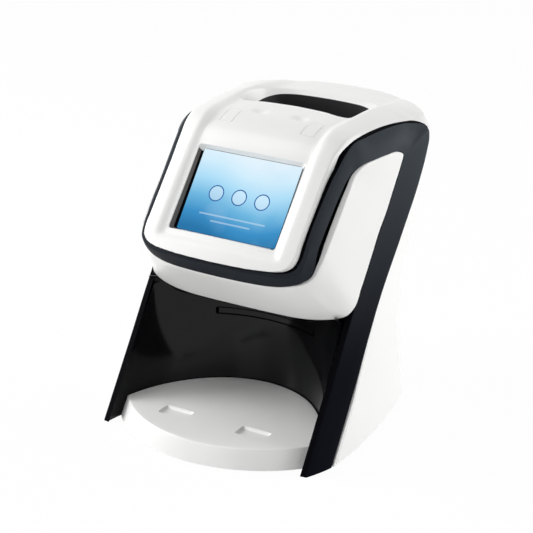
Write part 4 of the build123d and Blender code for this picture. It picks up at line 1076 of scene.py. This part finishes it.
# ---- floor, light and camera
floor_mesh = bpy.data.meshes.new("floor")
floor_mesh.from_pydata([(-6, -6, 0), (6, -6, 0), (6, 6, 0), (-6, 6, 0)], [], [(0, 1, 2, 3)])
floor_object = placed("floor", floor_mesh)


def seen_directly(nodes, links):
    """1 for camera, glossy and transmission rays, which see the plain white background."""
    paths = nodes.new("ShaderNodeLightPath")
    total = paths.outputs["Is Camera Ray"]
    for name in ("Is Glossy Ray", "Is Transmission Ray"):
        either = nodes.new("ShaderNodeMath")
        either.operation = "MAXIMUM"
        links.new(total, either.inputs[0])
        links.new(paths.outputs[name], either.inputs[1])
        total = either.outputs[0]
    return total


def mix_shaders(nodes, links, share, first, second, target):
    """Sends a mix of two shaders to the target socket."""
    mix = nodes.new("ShaderNodeMixShader")
    for k, socket in enumerate((share, first, second)):
        links.new(socket, mix.inputs[k])
    links.new(mix.outputs[0], target)


pale, nodes, links, shader = blank_material("pale_floor")
set_inputs(shader, {"Base Color": (0.86, 0.86, 0.86, 1), "Roughness": 0.9,
                    "Specular IOR Level": 0.1})
glow = nodes.new("ShaderNodeEmission")
set_inputs(glow, {"Strength": 1})
share = nodes.new("ShaderNodeMath")
share.operation = "MULTIPLY_ADD"
share.inputs[1].default_value = 0.76
share.inputs[2].default_value = 0.2
links.new(seen_directly(nodes, links), share.inputs[0])
mix_shaders(nodes, links, share.outputs[0], shader.outputs[0], glow.outputs[0],
            nodes["Material Output"].inputs["Surface"])
floor_mesh.materials.append(pale)

world = bpy.data.worlds.new("studio")
bpy.context.scene.world = world
world.use_nodes = True
nodes, links = world.node_tree.nodes, world.node_tree.links
seen = nodes.new("ShaderNodeBackground")
set_inputs(seen, {"Color": (1, 1, 1, 1), "Strength": 1})
lit = nodes["Background"]
set_inputs(lit, {"Color": (1, 1, 1, 1), "Strength": 0.23})
mix_shaders(nodes, links, seen_directly(nodes, links), lit.outputs[0], seen.outputs[0],
            nodes["World Output"].inputs["Surface"])


def lamp(name, place, power):
    """A square softbox, 1 m wide, that faces the middle of the object."""
    data = bpy.data.lights.new(name, "AREA")
    data.shape = "RECTANGLE"
    data.size, data.size_y, data.energy = 1, 1, power
    made = placed(name, data)
    made.location = Vector(place)
    made.rotation_mode = "QUATERNION"
    made.rotation_quaternion = (Vector((0, 0, 0.12)) - Vector(place)).to_track_quat("-Z", "Y")


lamp("left_softbox", (-1.7, -0.5, 0.9), 29)
lamp("upper_softbox", (-0.9, -0.3, 1.7), 7)
lamp("right_softbox", (1.7, 0.5, 0.6), 12)
lamp("rear_softbox", (1.2, 1.4, 0.8), 14)
lamp("front_softbox", (-0.2, -1.7, 1), 6.5)

camera_data = bpy.data.cameras.new("camera")
camera = placed("camera", camera_data)
bpy.context.scene.camera = camera
camera_data.sensor_width = 36
camera_data.lens = 132.6
azimuth, elevation, bank = radians(31.78), radians(21.89), radians(-0.25)
back = Vector((sin(azimuth) * cos(elevation), -cos(azimuth) * cos(elevation), sin(elevation)))
right = Vector((cos(azimuth), sin(azimuth), 0))
above = back.cross(right)
right, above = (right * cos(bank) + above * sin(bank), above * cos(bank) - right * sin(bank))
camera.location = Vector((0.77313, -1.25996, 0.71155))
camera.rotation_mode = "QUATERNION"
camera.rotation_quaternion = Matrix((right, above, back)).transposed().to_quaternion()
camera_data.clip_start, camera_data.clip_end = 0.05, 30

view = bpy.context.scene.view_settings
view.view_transform = "Standard"
